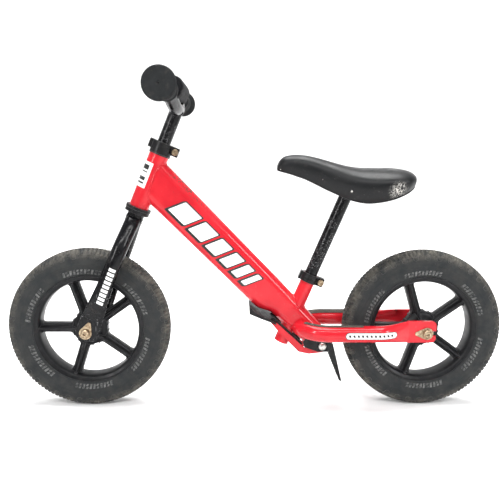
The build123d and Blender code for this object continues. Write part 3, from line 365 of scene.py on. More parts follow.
def tyre_foam(end):
    """Foam tyre: fine pores, scuffs, and pale brownish patches that grow thicker towards the tread."""
    finish = Finish(f"tyre_foam_{end}", Specular_IOR_Level=0.14)
    body = finish.mix(finish.noise(18, 6), (0.014, 0.016, 0.018), (0.030, 0.032, 0.033))
    # Paler brownish patches: few at radius 122, most at radius 137 by the tread.
    towards_tread = finish.mask(finish.radius_from(AXLES[end]), 122, 137, 0.08, 0.58)
    dust = finish.math("MULTIPLY", towards_tread, finish.patches(16, 8, 0.7, 0.34, 0.66))
    body = finish.mix(dust, body, (0.16, 0.145, 0.12))
    scuffs = finish.mask(finish.noise(5, 6, 0.75, distortion=1.5), 0.62, 0.7, 0.0, 0.2)
    body = finish.mix(scuffs, body, (0.2, 0.19, 0.18))
    body = finish.mix(finish.edges(0.9, 0.5), body, (0.17, 0.165, 0.155))
    finish.bump(finish.cells(0.9), 0.05, 0.5)
    finish.bump(finish.noise(4, 5), 0.16, 0.4)
    return finish.done(body, finish.mask(finish.noise(9, 5), 0.2, 0.8, 0.5, 0.85))


def rubbed_marks():
    """Raised sidewall marks, paler where they have been rubbed."""
    finish = Finish("rubbed_marks", Specular_IOR_Level=0.2)
    body = finish.mix(finish.patches(7, 6, 0.7, 0.35, 0.65), (0.022, 0.024, 0.026), (0.15, 0.15, 0.146))
    body = finish.mix(finish.edges(0.6, 0.6), body, (0.2, 0.2, 0.195))
    finish.bump(finish.noise(1.5, 4), 0.06, 0.5)
    return finish.done(body, finish.mask(finish.noise(6, 4), 0.3, 0.7, 0.4, 0.7))


def grip_rubber():
    """Matt rubber with dust in patches and paler worn ribs."""
    finish = Finish("grip_rubber", Specular_IOR_Level=0.12)
    body = finish.mix(finish.noise(12, 6), (0.010, 0.011, 0.012), (0.024, 0.026, 0.027))
    body = finish.mix(finish.patches(8, 7, 0.7, 0.5, 0.75, 0.25), body, (0.12, 0.10, 0.085))
    body = finish.mix(finish.edges(0.8, 0.45), body, (0.12, 0.12, 0.12))
    finish.bump(finish.noise(0.8, 3), 0.05, 0.5)
    return finish.done(body, finish.mask(finish.noise(7, 4), 0.2, 0.8, 0.55, 0.85))


def pad_cover():
    """Woven nylon over foam: crossed threads, lint and a faint sheen."""
    finish = Finish("pad_cover", Sheen_Weight=0.03, Sheen_Roughness=0.4, Specular_IOR_Level=0.1)
    threads = []
    for stretch in ((0, 1, 0), (0.7, 0, 0.7)):
        made = finish.node("ShaderNodeTexWave", {"wave_type": "BANDS", "bands_direction": "DIAGONAL"},
                           Vector=finish.stretched(stretch), Scale=260.0, Distortion=0.3)
        threads.append(made.outputs["Fac"])
    weave = finish.math("MULTIPLY", *threads)
    body = finish.mix(weave, (0.004, 0.004, 0.005), (0.014, 0.0145, 0.016))
    body = finish.mix(finish.patches(3, 8, 0.75, 0.6, 0.72, 0.2), body, (0.24, 0.22, 0.2))
    finish.bump(weave, 0.18, 0.7)
    return finish.done(body, finish.mask(finish.noise(10, 4), 0.2, 0.8, 0.65, 0.9))


SADDLE_GLINT_SPOT = Vector((-224, 0, 386)) * MM      # middle of the painted reflection, a pale spot low on the saddle's rear side


def saddle_cover():
    """Satin vinyl: pebbled grain, patchy shine, dust in patches, fine marks and a painted reflection low on the
    rear side.
    """
    finish = Finish("saddle_cover", Coat_Weight=0.1, Coat_Roughness=0.3, Specular_IOR_Level=0.2)
    body = finish.mix(finish.noise(35, 5), (0.0035, 0.004, 0.0045), (0.007, 0.0075, 0.0085))
    body = finish.mix(finish.patches(14, 8, 0.72, 0.55, 0.8, 0.12), body, (0.22, 0.19, 0.16))
    marks = finish.mask(finish.noise(1.4, 2, 0.4, (0.12, 1, 1)), 0.72, 0.78, 0.0, 0.25)
    body = finish.mix(marks, body, (0.2, 0.2, 0.2))
    # Painted reflection of a window: a near-white spot low on the rear side, its edge broken up by noise.
    near = finish.mask(finish.radius_from(SADDLE_GLINT_SPOT), 3, 20, 1.0, 0.0)
    worn = finish.mask(finish.noise(3.2, 7, 0.72, distortion=1.0), 0.47, 0.6, 0.0, 0.85)
    body = finish.mix(finish.math("MULTIPLY", near, worn), body, (0.8, 0.77, 0.72))
    finish.bump(finish.cells(1.3, "SMOOTH_F1"), 0.09, 0.55)
    finish.bump(finish.noise(0.5, 2), 0.02, 0.4)
    return finish.done(body, finish.mask(finish.noise(20, 5), 0.25, 0.75, 0.3, 0.52))


def grit_tape():
    """Coarse grit in glue, worn brown."""
    finish = Finish("grit_tape", Specular_IOR_Level=0.2)
    grains = finish.cells(0.8)
    body = finish.mix(finish.noise(9, 6), (0.10, 0.085, 0.07), (0.21, 0.18, 0.15))
    body = finish.mix(finish.mask(grains, 0.2, 0.6), body, (0.05, 0.045, 0.04))
    finish.bump(grains, 0.35, 0.9)
    return finish.done(body, 0.88)


def metal(name, clean, tarnish, rust_share, rough):
    """Plated steel: cloudy plating, turned grain and spots of rust."""
    finish = Finish(name)
    body = finish.mix(finish.patches(3.5, 5, 0.55, 0.35, 0.7), clean, tarnish)
    rust = finish.mask(finish.noise(2.2, 6, 0.7), 0.62 - rust_share, 0.7 - rust_share)
    body = finish.mix(rust, body, (0.16, 0.055, 0.02))
    bare = finish.math("SUBTRACT", 1.0, finish.math("MULTIPLY", rust, 0.85))
    finish.put(finish.shader.inputs["Metallic"], bare)
    finish.bump(finish.noise(0.6, 3), 0.03, 0.5)
    finish.bump(rust, 0.06, 0.6)
    plating = finish.mask(finish.noise(4, 4), 0.3, 0.7, rough, rough + 0.2)
    return finish.done(body, finish.math("MAXIMUM", plating, finish.math("MULTIPLY", rust, 0.85)))


def sticker(name, clean, grimy):
    """Printed vinyl: grime in patches and hairline scratches."""
    finish = Finish(name, Coat_Weight=0.3, Coat_Roughness=0.2)
    body = finish.mix(finish.patches(12, 7, 0.7, 0.5, 0.8, 0.5), clean, grimy)
    lines = finish.mask(finish.noise(1.3, 2, 0.4, (1, 1, 0.1)), 0.72, 0.76, 0.0, 0.5)
    body = finish.mix(lines, body, grimy)
    finish.bump(finish.noise(2, 3), 0.02, 0.4)
    return finish.done(body, finish.mask(finish.noise(9, 4), 0.3, 0.7, 0.3, 0.5))


def floor_paint():
    """Matt white, a little uneven."""
    finish = Finish("floor", Specular_IOR_Level=0.1)
    return finish.done(finish.mix(finish.noise(400, 3), (0.86, 0.86, 0.86), (0.9, 0.9, 0.9)), 0.9)


RED = red_paint()
BLACK = black_paint()
WHEEL = moulded("wheel_plastic", (0.004, 0.0042, 0.005), (0.009, 0.0095, 0.011), (0.12, 0.11, 0.1),
                0.10, 0.27, 0.03)
PLASTIC = moulded("black_plastic", (0.005, 0.005, 0.0055), (0.010, 0.010, 0.011), (0.15, 0.13, 0.11),
                  0.12, 0.36, 0.05)
ALLOY = moulded("black_alloy", (0.005, 0.005, 0.0055), (0.009, 0.009, 0.010), (0.15, 0.14, 0.12),
                0.08, 0.24, 0.02)
TYRES = {end: tyre_foam(end) for end in AXLES}
MARKS = rubbed_marks()
GRIP = grip_rubber()
PAD = pad_cover()
SADDLE = saddle_cover()
GRIT = grit_tape()
STEEL = metal("bright_steel", (0.66, 0.65, 0.62), (0.36, 0.34, 0.31), 0.0, 0.24)
ZINC = metal("zinc_steel", (0.50, 0.40, 0.27), (0.19, 0.125, 0.075), 0.05, 0.26)
WHITE = sticker("white_print", (0.86, 0.86, 0.85), (0.5, 0.46, 0.42))
INK = sticker("black_print", (0.004, 0.004, 0.0045), (0.05, 0.045, 0.04))

NODE_FINISHES = {
    "red_paint": RED, "black_paint": BLACK, "black_alloy": ALLOY, "black_steel": ALLOY,
    "black_plastic": PLASTIC, "wheel_plastic": WHEEL, "tyre_foam": TYRES["front"], "grip_rubber": GRIP,
    "pad_cover": PAD, "saddle_cover": SADDLE, "grit_tape": GRIT, "bright_steel": STEEL, "zinc_steel": ZINC,
}


def finish_cad_nodes():
    """Gives every CAD node the finish of its material slot."""
    for row in frame["record"]["subparts"]:
        node = frame["nodes"][row["node"]]
        node.data.materials.clear()
        node.data.materials.append(NODE_FINISHES[row["material_slot"]])


# ---------------------------------------------------------------- camera, floor and light, in metres
LENS = 41.3
CAMERA_PLACE = (0.04175, 0.9784, 0.4511)
# Radians, from looking level along -Y.
CAMERA_YAW, CAMERA_PITCH, CAMERA_ROLL = -0.029, 0.175, 0.010
FLOOR_RADIUS, FLOOR_CURVE, FLOOR_RIM, FLOOR_CENTRE, FLOOR_STEPS = 4.0, 1.5, 5.0, 0.6, 96
BIKE_MIDDLE = (0, 0, 0.28)
# Each light: its place, size, watts, target and spread in degrees.
LIGHTS = {
    "top": ((0.0, -0.6, 2.7), (2.2, 2.2), 60, (0, -0.7, 0), 100),
    "strip": ((-0.1, 1.5, 1.9), (2.2, 0.16), 24, BIKE_MIDDLE, 180),
    "key": ((1.7, 1.7, 1.3), (0.24, 1.1), 26, BIKE_MIDDLE, 180),
    "edge": ((-1.7, 1.35, 1.1), (0.2, 1.0), 20, BIKE_MIDDLE, 180),
    "wall": ((0.0, -0.8, 2.4), (1.8, 1.0), 52, (0, -3.6, 0.9), 130),
}
WORLD_LIGHT = 0.1


def make_camera():
    """Camera on the bike's left, above it and looking slightly down."""
    data = bpy.data.cameras.new("camera")
    data.lens = LENS
    data.clip_end = 60
    camera = bpy.data.objects.new("camera", data)
    bpy.context.scene.collection.objects.link(camera)
    level = Matrix(((-1, 0, 0), (0, 0, 1), (0, 1, 0)))
    turn = Matrix.Rotation(CAMERA_YAW, 3, "Z") @ Matrix.Rotation(CAMERA_PITCH, 3, "X")
    facing = turn @ level @ Matrix.Rotation(CAMERA_ROLL, 3, "Z")
    camera.matrix_world = Matrix.Translation(CAMERA_PLACE) @ facing.to_4x4()
    bpy.context.scene.camera = camera


def make_floor():
    """Round pale floor whose rim sweeps up all the way round."""
    flat = FLOOR_RADIUS - FLOOR_CURVE
    outline = [(FLOOR_CENTRE, 0.0), (flat, 0.0)]
    for turn in np.linspace(0, math.pi / 2, 12)[1:]:
        outline.append((flat + FLOOR_CURVE * math.sin(turn), FLOOR_CURVE - FLOOR_CURVE * math.cos(turn)))
    outline.append((FLOOR_RADIUS, FLOOR_RIM))
    points = [(reach * math.cos(-turn), reach * math.sin(-turn), level)
              for reach, level in outline for turn in full_turn(FLOOR_STEPS)]
    middle = tuple(reversed(range(FLOOR_STEPS)))
    mesh = bpy.data.meshes.new("floor")
    mesh.from_pydata(points, [], grid_faces(len(outline), FLOOR_STEPS, wrap_columns=True) + [middle])
    mesh.shade_smooth()
    floor = bpy.data.objects.new("floor", mesh)
    bpy.context.scene.collection.objects.link(floor)
    floor.data.materials.append(floor_paint())


def area_light(name, place, size, power, target, spread):
    """Rectangular light that faces its target."""
    data = bpy.data.lights.new(name, "AREA")
    data.shape = "RECTANGLE"
    data.size, data.size_y = size
    data.energy = power
    data.spread = math.radians(spread)
    light = bpy.data.objects.new(name, data)
    bpy.context.scene.collection.objects.link(light)
    light.location = place
    light.rotation_euler = (Vector(target) - Vector(place)).to_track_quat("-Z", "Y").to_euler()


def make_light():
    """A soft sky, a broad light overhead, one on the wall, and three narrow ones for the highlights."""
    world = bpy.data.worlds.new("world")
    world.use_nodes = True
    world.node_tree.nodes["Background"].inputs["Color"].default_value = (1, 1, 1, 1)
    world.node_tree.nodes["Background"].inputs["Strength"].default_value = WORLD_LIGHT
    bpy.context.scene.world = world
    bpy.context.scene.view_settings.view_transform = "Standard"
    for name, setting in LIGHTS.items():
        area_light(name, *setting)


# ---------------------------------------------------------------- tyres
TYRE_SIDE = ((15.6, 95.0), (17.6, 95.3), (18.9, 96.8), (20.4, 100.5), (21.4, 105), (21.9, 110), (21.9, 115),
             (21.4, 121), (20.3, 127), (18.1, 131.8), (14.4, 135.7), (9.2, 137.7), (4.5, 138.3), (0, 138.4))
BEAD = ((15.4, 90.0), (0, 89.8))
RIDGE_RADIUS, RIDGE_HEIGHT, RIDGE_HALF = 116.0, 0.55, 0.8
TREAD_PITCHES = 120
BLOCK_HEIGHT, BLOCK_HALF, CENTRE_REACH = 1.6, 2.7, 5.0
RIB_START, RIB_END_RADIUS = 6.6, 132.0       # shoulder ribs, from the crown to this radius
TAB_EVERY, TAB_HALF, TAB_HEIGHT, TAB_OUTER, TAB_INNER = 3, 4.6, 1.1, 133.5, 125.5
EDGE_LIFT = 0.72             # height of a block's edges as a share of its middle
MARK_INNER, MARK_OUTER, MARK_HEIGHT = 99.2, 107.2, 0.7
MARK_WIDTH, MARK_SLANT, MARK_SPLIT = 3.6, 1.6, 0.7
MARK_GROUPS, MARK_BARS, MARK_FIRST, MARK_STEP = 6, 11, math.radians(9), math.radians(3.4)


def tyre_section(count):
    """Smooth half section, from the bead to the crown, as left, radius and outward direction."""
    line = smooth_line(TYRE_SIDE, count)
    along = np.gradient(line, axis=0)
    outward = np.stack([along[:, 1], -along[:, 0]], axis=1)
    outward /= np.linalg.norm(outward, axis=1)[:, None]
    outward[outward[:, 1] + outward[:, 0] < 0] *= -1
    return line, outward


SECTION, OUTWARD = tyre_section(400)
lengths = np.concatenate([[0], np.cumsum(np.linalg.norm(np.diff(SECTION, axis=0), axis=1))])
CROWN = lengths[-1]


def tyre_place(distance, lift):
    """Left and radius of a point at a distance from the crown along the section, lifted off it."""
    side = 1 if distance >= 0 else -1
    at = CROWN - abs(distance)
    left, radius = (np.interp(at, lengths, SECTION[:, axis]) for axis in (0, 1))
    out_left, out_radius = (np.interp(at, lengths, OUTWARD[:, axis]) for axis in (0, 1))
    return side * (left + lift * out_left), radius + lift * out_radius


def distance_at_radius(radius):
    """Distance from the crown to where the sidewall has this radius."""
    widest = int(np.argmax(SECTION[:, 0]))
    at = np.interp(radius, SECTION[:, 1], lengths) if radius > SECTION[0, 1] else lengths[widest]
    return CROWN - at


def tread_block(shape, axle, angle, half_width, start, end, round_end=False, rise=BLOCK_HEIGHT):
    """One raised block between two distances from the crown."""
    top, bottom = [], []
    for share in (0.0, 0.04, 0.2, 0.4, 0.6, 0.8, 0.93, 1.0):
        distance = start + (end - start) * share
        narrow = math.sqrt(max(0.0, 1 - max(0.0, (share - 0.72) / 0.28) ** 2)) if round_end else 1.0
        narrow = max(narrow, 0.12)
        edge = share in (0.0, 1.0)
        row_top, row_bottom = [], []
        for across in (-1.0, -0.82, 0.0, 0.82, 1.0):
            turn = angle + across * narrow * half_width / SECTION[-1, 1]
            lift = EDGE_LIFT * rise if edge or abs(across) == 1.0 else rise
            row_top.append(wheel_point(axle, *tyre_place(distance, lift), turn))
            row_bottom.append(wheel_point(axle, *tyre_place(distance, -0.3), turn))
        top.append(row_top)
        bottom.append(row_bottom)
    shape.slab(top, bottom)


def side_mark(shape, axle, side, angle, inner, outer):
    """One raised bar of the plain moulded ring on the sidewall."""
    top, bottom = [], []
    for across in (-0.5, -0.36, 0.36, 0.5):
        row_top, row_bottom = [], []
        for share in (0.0, 0.1, 0.5, 0.9, 1.0):
            radius = inner + (outer - inner) * share
            turn = angle + (across * MARK_WIDTH + MARK_SLANT * (share - 0.5)) / radius
            edge = abs(across) == 0.5 or share in (0.0, 1.0)
            distance = side * distance_at_radius(radius)
            lift = MARK_HEIGHT * (0.6 if edge else 1.0)
            row_top.append(wheel_point(axle, *tyre_place(distance, lift), turn))
            row_bottom.append(wheel_point(axle, *tyre_place(distance, -0.2), turn))
        top.append(row_top)
        bottom.append(row_bottom)
    shape.slab(top, bottom)


def make_tyre(end):
    """Foam tyre with ribbed shoulders, centre blocks, a ridge and a ring of plain raised bars."""
    axle, shape = AXLES[end], Shape()
    wall = []
    for distance in np.linspace(-CROWN, CROWN, 150):
        radius = tyre_place(distance, 0)[1]
        lift = RIDGE_HEIGHT * math.exp(-((radius - RIDGE_RADIUS) / RIDGE_HALF) ** 2)
        wall.append(tyre_place(distance, lift))
    base = [(BEAD[0][0], BEAD[0][1]), (-BEAD[0][0], BEAD[0][1])]
    shape.lathe(wall + base, axle, 240)
    pitch = 2 * math.pi / TREAD_PITCHES
    tab_start, tab_end = distance_at_radius(TAB_OUTER), distance_at_radius(TAB_INNER)
    rib_end = distance_at_radius(RIB_END_RADIUS)
    for step in range(TREAD_PITCHES):
        tread_block(shape, axle, (step + 0.5) * pitch, BLOCK_HALF, -CENTRE_REACH, CENTRE_REACH)
        for side in (1, -1):
            turn = step * pitch
            tread_block(shape, axle, turn, BLOCK_HALF, side * RIB_START, side * rib_end)
            if step % TAB_EVERY == 0:
                tread_block(shape, axle, turn, TAB_HALF, side * tab_start, side * tab_end, True, TAB_HEIGHT)
    piece = shape.build(f"{end}_foam_tyre", f"{end}_wheel", TYRES[end], "tyre_foam", sharp=50)
    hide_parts(f"{end}_tyre")
    make_side_marks(end)


def make_side_marks(end):
    """Plain raised bars, rubbed pale, that run round both sidewalls in six groups."""
    axle, shape = AXLES[end], Shape()
    middle = 0.5 * (MARK_INNER + MARK_OUTER)
    whole = [(MARK_INNER, MARK_OUTER)]
    split = [(MARK_INNER, middle - MARK_SPLIT), (middle + MARK_SPLIT, MARK_OUTER)]
    for side in (1, -1):
        for group in full_turn(MARK_GROUPS):
            for bar in range(MARK_BARS):
                angle = group + MARK_STEP * bar + MARK_FIRST
                for inner, outer in split if bar % 3 == 1 else whole:
                    side_mark(shape, axle, side, angle, inner, outer)
    shape.build(f"{end}_tyre_side_bars", f"{end}_wheel", MARKS, sharp=50)


# ---------------------------------------------------------------- wheels
SPOKES = 5
SPOKE_HALF = 8.25
WINDOW_INNER, WINDOW_OUTER, WINDOW_ROUND = 29.0, 85.0, 6.5
RING_HALF = ((0, 84.6), (9.5, 84.9), (13.6, 85.8), (16.2, 87.2), (17.6, 89.2), (18.3, 91.4), (19.1, 92.4),
             (19.2, 94.4), (18.5, 95.3), (17.0, 95.3), (16.2, 94.6), (15.6, 91.0), (15.4, 89.4), (0, 89.4))
HUB_HALF_LINE = ((0, 7.5), (22.8, 7.5), (23.0, 13.9), (30.4, 13.95), (31.0, 14.5), (31.0, 17.0), (30.2, 18.0),
                 (24.0, 18.9), (16.5, 20.6), (12.0, 23.6), (9.6, 27.2), (8.6, 29.2), (6.8, 30.2), (0, 30.4))


def both_sides(half_line):
    """A closed outline from one that runs from the centre plane to the centre plane on the left."""
    mirrored = [(-left, radius) for left, radius in half_line[1:-1]]
    return list(half_line) + mirrored[::-1]


def spoke_half_width(radius):
    """Half width of a spoke, which flares into the hub and the rim."""
    flare = max(0.0, radius - (WINDOW_OUTER - WINDOW_ROUND), (WINDOW_INNER + WINDOW_ROUND) - radius)
    flare = min(flare, WINDOW_ROUND)
    return SPOKE_HALF + WINDOW_ROUND - math.sqrt(WINDOW_ROUND ** 2 - flare ** 2)


def spoke_section(radius):
    """Outline across a spoke, as (across, left): a flat web with rolled edges and a raised rib."""
    half = spoke_half_width(radius)
    rib = 14.8 + 4.5 * max(0.0, (38 - radius) / 19)
    side = [(half, 0), (half, 5.4), (half - 0.5, 6.6), (half - 1.5, 7.0), (half - 2.8, 6.7), (4.6, 7.4),
            (3.2, 8.6), (2.6, 10.4), (2.2, rib - 1.2), (1.4, rib - 0.3), (0, rib)]
    upper = side + [(-across, left) for across, left in side[-2::-1]]
    return upper + [(across, -left) for across, left in upper[-2:0:-1]]


def make_wheel(end):
    """Moulded wheel: hub, five ribbed spokes and a rim ring with rolled lips."""
    axle, shape = AXLES[end], Shape()
    shape.lathe(both_sides(RING_HALF), axle, 200)
    shape.lathe(both_sides(HUB_HALF_LINE), axle, 120)
    radii = np.concatenate([np.linspace(19, 29, 4), np.linspace(29.8, 36, 8), np.linspace(42, 73, 5),
                            np.linspace(78, 84.6, 9), [87.0]])
    for angle in full_turn(SPOKES):
        along = Vector((math.cos(angle), 0, math.sin(angle)))
        across = Vector((-math.sin(angle), 0, math.cos(angle)))
        rows = []
        for radius in radii:
            rows.append([axle + (along * radius + across * side + LEFT * left) * MM
                         for side, left in spoke_section(radius)])
        shape.grid(rows, caps=True)
    piece = shape.build(f"{end}_moulded_wheel", f"{end}_wheel", WHEEL, "wheel_plastic", sharp=38)
    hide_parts(f"{end}_rim")


# ---------------------------------------------------------------- grips
# The sleeve's inner end, as (distance from its inner end, radius), with the bar's bore first.
GRIP_INNER_END = ((0.5, 11.2), (0, 12.0), (0, 16.6), (0.8, 17.6), (3.6, 17.6), (4.6, 16.2))
# The flange and the outer end, as (distance back from the end, radius): two lips with a groove between them.
GRIP_FLANGE = ((9.4, 16.4), (8.4, 17.8), (7.9, 21.2), (7.3, 23.2), (6.3, 24.0), (5.2, 24.0), (4.4, 23.2),
               (4.0, 22.2), (3.6, 23.1), (2.6, 23.6), (1.5, 23.3), (0.6, 22.4), (0.1, 21.0), (0.25, 19.8),
               (0.45, 19.2), (0.45, 10.0), (0.2, 6.0), (0.1, 2.2), (0.4, 1.6), (3.5, 1.5), (3.5, 0.0))
GRIP_BORE_END, GRIP_RIBS, RIB_HEIGHT = 6.5, 12, 0.55
SLEEVE_START, SLEEVE_TO_ENDS, SLEEVE_RADIUS, SLEEVE_SWELL = 6, 16.5, 15.2, 0.7


def make_grip(hand, side):
    """Rubber grip with finger ribs and a wide double-lipped end flange."""
    low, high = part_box(f"grip_{hand}")
    outer = max(abs(low.y), abs(high.y)) / MM
    inner = min(abs(low.y), abs(high.y)) / MM
    centre = box_middle(low, high)
    line = [(outer - GRIP_BORE_END, 0.0), (outer - GRIP_BORE_END, GRIP_INNER_END[0][1])]
    line += [(inner + ahead, radius) for ahead, radius in GRIP_INNER_END]
    for place in np.linspace(0, 1, 110):
        ribbed = 1 if 0.06 < place < 0.94 else 0
        ribs = RIB_HEIGHT * max(0.0, math.cos(2 * math.pi * place * GRIP_RIBS)) * ribbed
        left = inner + SLEEVE_START + place * (outer - inner - SLEEVE_TO_ENDS)
        line.append((left, SLEEVE_RADIUS + SLEEVE_SWELL * math.sin(math.pi * place) + ribs))
    line += [(outer - back, radius) for back, radius in GRIP_FLANGE]
    shape = Shape()
    shape.lathe([(side * left, radius) for left, radius in line], centre, 96, closed=False)
    piece = shape.build(f"rubber_grip_{hand}", "bar", GRIP, "grip_rubber", sharp=45)
    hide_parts(f"grip_{hand}")


# ---------------------------------------------------------------- soft pads
def settle(piece, voxel, pressure, limit):
    """Puffs a closed skin by cloth simulation; no point moves further than the limit in millimetres."""
    remesh = piece.modifiers.new("remesh", "REMESH")
    remesh.mode = "VOXEL"
    remesh.voxel_size = voxel * MM
    graph = bpy.context.evaluated_depsgraph_get()
    mesh = bpy.data.meshes.new_from_object(piece.evaluated_get(graph))
    piece.modifiers.clear()
    piece.data = mesh
    cloth = piece.modifiers.new("cloth", "CLOTH")
    cloth.settings.use_pressure = True
    cloth.settings.uniform_pressure_force = pressure
    cloth.settings.effector_weights.gravity = 0
    cloth.settings.quality = 6
    cloth.settings.tension_stiffness = 12
    cloth.settings.bending_stiffness = 0.4
    rest = np.array([vertex.co for vertex in mesh.vertices])
    for step in range(1, 21):
        bpy.context.scene.frame_set(step)
    graph = bpy.context.evaluated_depsgraph_get()
    puffed = np.array([vertex.co for vertex in piece.evaluated_get(graph).data.vertices])
    move = puffed - rest
    length = np.maximum(np.linalg.norm(move, axis=1), 1e-9)
    move *= np.minimum(1, limit * MM / length)[:, None]
    piece.modifiers.clear()
    mesh.vertices.foreach_set("co", (rest + move).ravel())
    bpy.context.scene.frame_set(1)
    mesh.shade_smooth()


# Half of the centreline of the handlebar's dipped middle, as (ahead, left, height).
BAR_HALF = ((14, 120, 423), (14, 84, 423), (0.8, 24, 404.8))
BAR_CLEARANCE = 11.6         # from the handlebar's centreline to the pad's skin
# One end of the bar pad, as (distance from its end, radius).
PAD_END = ((5, 0.0), (4, 6.2), (1.2, 9), (0.8, 14))
PAD_COVER, PAD_VOXEL, PAD_PRESSURE, PAD_PUFF = 2.6, 4.0, 4.0, 2.4
SEWN_FROM_END, SEWN_DEPTH, SEWN_WIDTH, SEAM_DEPTH, SEAM_REACH = 9, 1.1, 2.2, 1.6, 0.97


def bar_centres():
    """Centreline of the handlebar's dipped middle, as points."""
    mirrored = [(ahead, -left, height) for ahead, left, height in reversed(BAR_HALF)]
    return [steer_point(*corner) for corner in list(BAR_HALF) + mirrored]


def make_bar_pad():
    """Foam roll round the crossbar, in a sewn cover that the handlebar dents from below."""
    low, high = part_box("handlebar_pad")
    centre = box_middle(low, high)
    half, radius = high.y / MM, (high.x - low.x) / 2 / MM
    full = radius - PAD_COVER
    line = [(-half + inward, reach) for inward, reach in PAD_END] + [(-half + 3, full - 2)]
    line += [(place * half, full) for place in (-0.9, -0.7, -0.45, -0.2, 0, 0.2, 0.45, 0.7, 0.9)]
    line += [(-left, reach) for left, reach in line[4::-1]]
    shape = Shape()
    shape.lathe(line, centre, 40, closed=False)
    piece = shape.build("handlebar_roll_pad", "bar", PAD, "pad_cover")
    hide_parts("handlebar_pad")
    settle(piece, PAD_VOXEL, PAD_PRESSURE, PAD_PUFF)
    dent_by_bar(piece)
    sew_pad(piece, centre, half)
    piece.modifiers.new("smooth", "SUBSURF").render_levels = 1


def dent_by_bar(piece):
    """Moves points of the pad out of the handlebar that passes under it."""
    reach = BAR_CLEARANCE * MM
    corners = bar_centres()
    for vertex in piece.data.vertices:
        for start, end in zip(corners, corners[1:]):
            along = end - start
            share = min(1.0, max(0.0, (vertex.co - start).dot(along) / along.length_squared))
            off = vertex.co - (start + along * share)
            if off.length < reach:
                vertex.co += off.normalized() * (reach - off.length)


def sew_pad(piece, centre, half):
    """Pulls a sewn channel in near each end of the pad and a seam along its back."""
    for vertex in piece.data.vertices:
        off = vertex.co - centre
        ring = Vector((off.x, 0, off.z))
        pull = SEWN_DEPTH * math.exp(-((abs(off.y) / MM - (half - SEWN_FROM_END)) / SEWN_WIDTH) ** 2)
        back = ring.normalized().dot(-AHEAD) if ring.length > 1e-6 else 0
        pull += SEAM_DEPTH * max(0.0, (back - SEAM_REACH) / 0.03)
        if ring.length / MM > 8:
            vertex.co -= ring.normalized() * pull * MM


# Saddle stations: x, half width, lower rim, crown.
SADDLE_LINE = (
    (-30.8, 4, 415.4, 419.6), (-31.4, 7.5, 414.9, 423.6), (-33, 10, 414.2, 427.6), (-36.4, 13, 413.2, 433.2),
    (-42.7, 16.5, 411.5, 438.2), (-52, 19.5, 409.2, 440.8), (-63, 22, 405.6, 441.7), (-78, 24.5, 400.5, 441),
    (-100, 29, 390.5, 436.6), (-125, 37.5, 378.6, 430), (-150, 48, 368.6, 423.8), (-175, 57, 364, 421),
    (-200, 62.5, 366.5, 421), (-222, 63, 372, 421.2), (-240, 59, 379.5, 419.6), (-251, 51, 385.5, 417),
    (-258, 40, 390.5, 413.4), (-261.5, 26, 394.5, 409.6), (-262.3, 10, 398, 405.6),
)
COVER_EDGE = 2.4             # the cover stops this far above the shell's rim


def saddle_cover_section(half, bottom, top):
    """Outline across the cover, as (left, height): crowned on top, tucked in to its lower edge."""
    low = bottom + COVER_EDGE * min(1, (top - bottom) / 12)
    widest = low + 0.46 * (top - low)
    points = []
    for turn in np.linspace(0, math.pi, 27):
        left = half * math.copysign(abs(math.cos(turn)) ** 0.86, math.cos(turn))
        points.append((left, widest + (top - widest) * math.sin(turn) ** 0.92))
    for share in (0.25, 0.5, 0.75, 0.93, 1.0):
        points.append((-half * (1 - 0.18 * share ** 1.8), widest + (low - widest) * share))
    points.append((-half * 0.79, low + 0.4))
    points.append((0, low + 0.35 * (top - low)))
    points.append((half * 0.79, low + 0.4))
    for share in (1.0, 0.93, 0.75, 0.5, 0.25):
        points.append((half * (1 - 0.18 * share ** 1.8), widest + (low - widest) * share))
    return points


def saddle_shell_section(half, bottom, top):
    """Outline across the hard shell: a thin channel whose rim shows under the cover."""
    tall = top - bottom
    wall = min(2.6, 0.3 * half)
    ceiling = bottom + 0.52 * tall
    inner = min(0.8 * half, max(0.5, half * 0.815 - wall))
    outer = half * 0.815
    outside = [(outer, bottom), (outer + 0.3, bottom + 1.4), (outer, bottom + 0.3 * tall),
               (0.7 * half, ceiling + wall), (0, ceiling + wall + 0.5)]
    inside = [(0, ceiling + 0.5), (0.64 * half, ceiling), (inner, bottom + 0.28 * tall), (inner, bottom)]
    left = [(-across, height) for across, height in outside[-2::-1]]
    left += [(-across, height) for across, height in inside[:0:-1]]
    return outside + left + inside


def make_saddle():
    """Vinyl-skinned saddle cover over a hard shell; returns the cover, on which the side screws are placed."""
    stations = smooth_line(SADDLE_LINE, 110)
    cover, shell = Shape(), Shape()
    for shape, section, lengthwise in ((cover, saddle_cover_section, stations),
                                       (shell, saddle_shell_section, stations[6:-6])):
        shape.grid([[Vector((x, left, height)) * MM for left, height in section(half, bottom, top)]
                    for x, half, bottom, top in lengthwise], caps=True)
    piece = cover.build("saddle_skin", "seat", SADDLE, "saddle_cover", sharp=60)
    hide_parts("saddle_pad")
    piece.modifiers.new("smooth", "SUBSURF").render_levels = 1
    hull = shell.build("saddle_shell", "seat", PLASTIC, "black_plastic", sharp=50)
    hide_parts("saddle_base")
    return piece


def dome(shape, place, outward, radius, height, rings=6, steps=28):
    """Round-headed rivet or screw on a surface, with a small dimple in its middle."""
    side = outward.orthogonal().normalized()
    rows = []
    profile = [(1.0, -0.6), (1.0, 0.15)]
    profile += [(math.cos(turn), 0.15 + 0.85 * math.sin(turn)) for turn in np.linspace(0.25, 1.15, rings)]
    profile += [(0.3, 0.96), (0.24, 0.55), (0.02, 0.5)]
    for reach, rise in profile:
        centre = place + outward * height * rise * MM
        rows.append(ring(centre, outward, radius * reach, steps, side))
    shape.grid(rows, caps=True)


# Screws and rivets in each side of the saddle: x, z and radius.
SADDLE_SCREWS = ((-150.5, 384.0, 2.5), (-105.0, 402.0, 0.9), (-36.5, 417.5, 1.1))


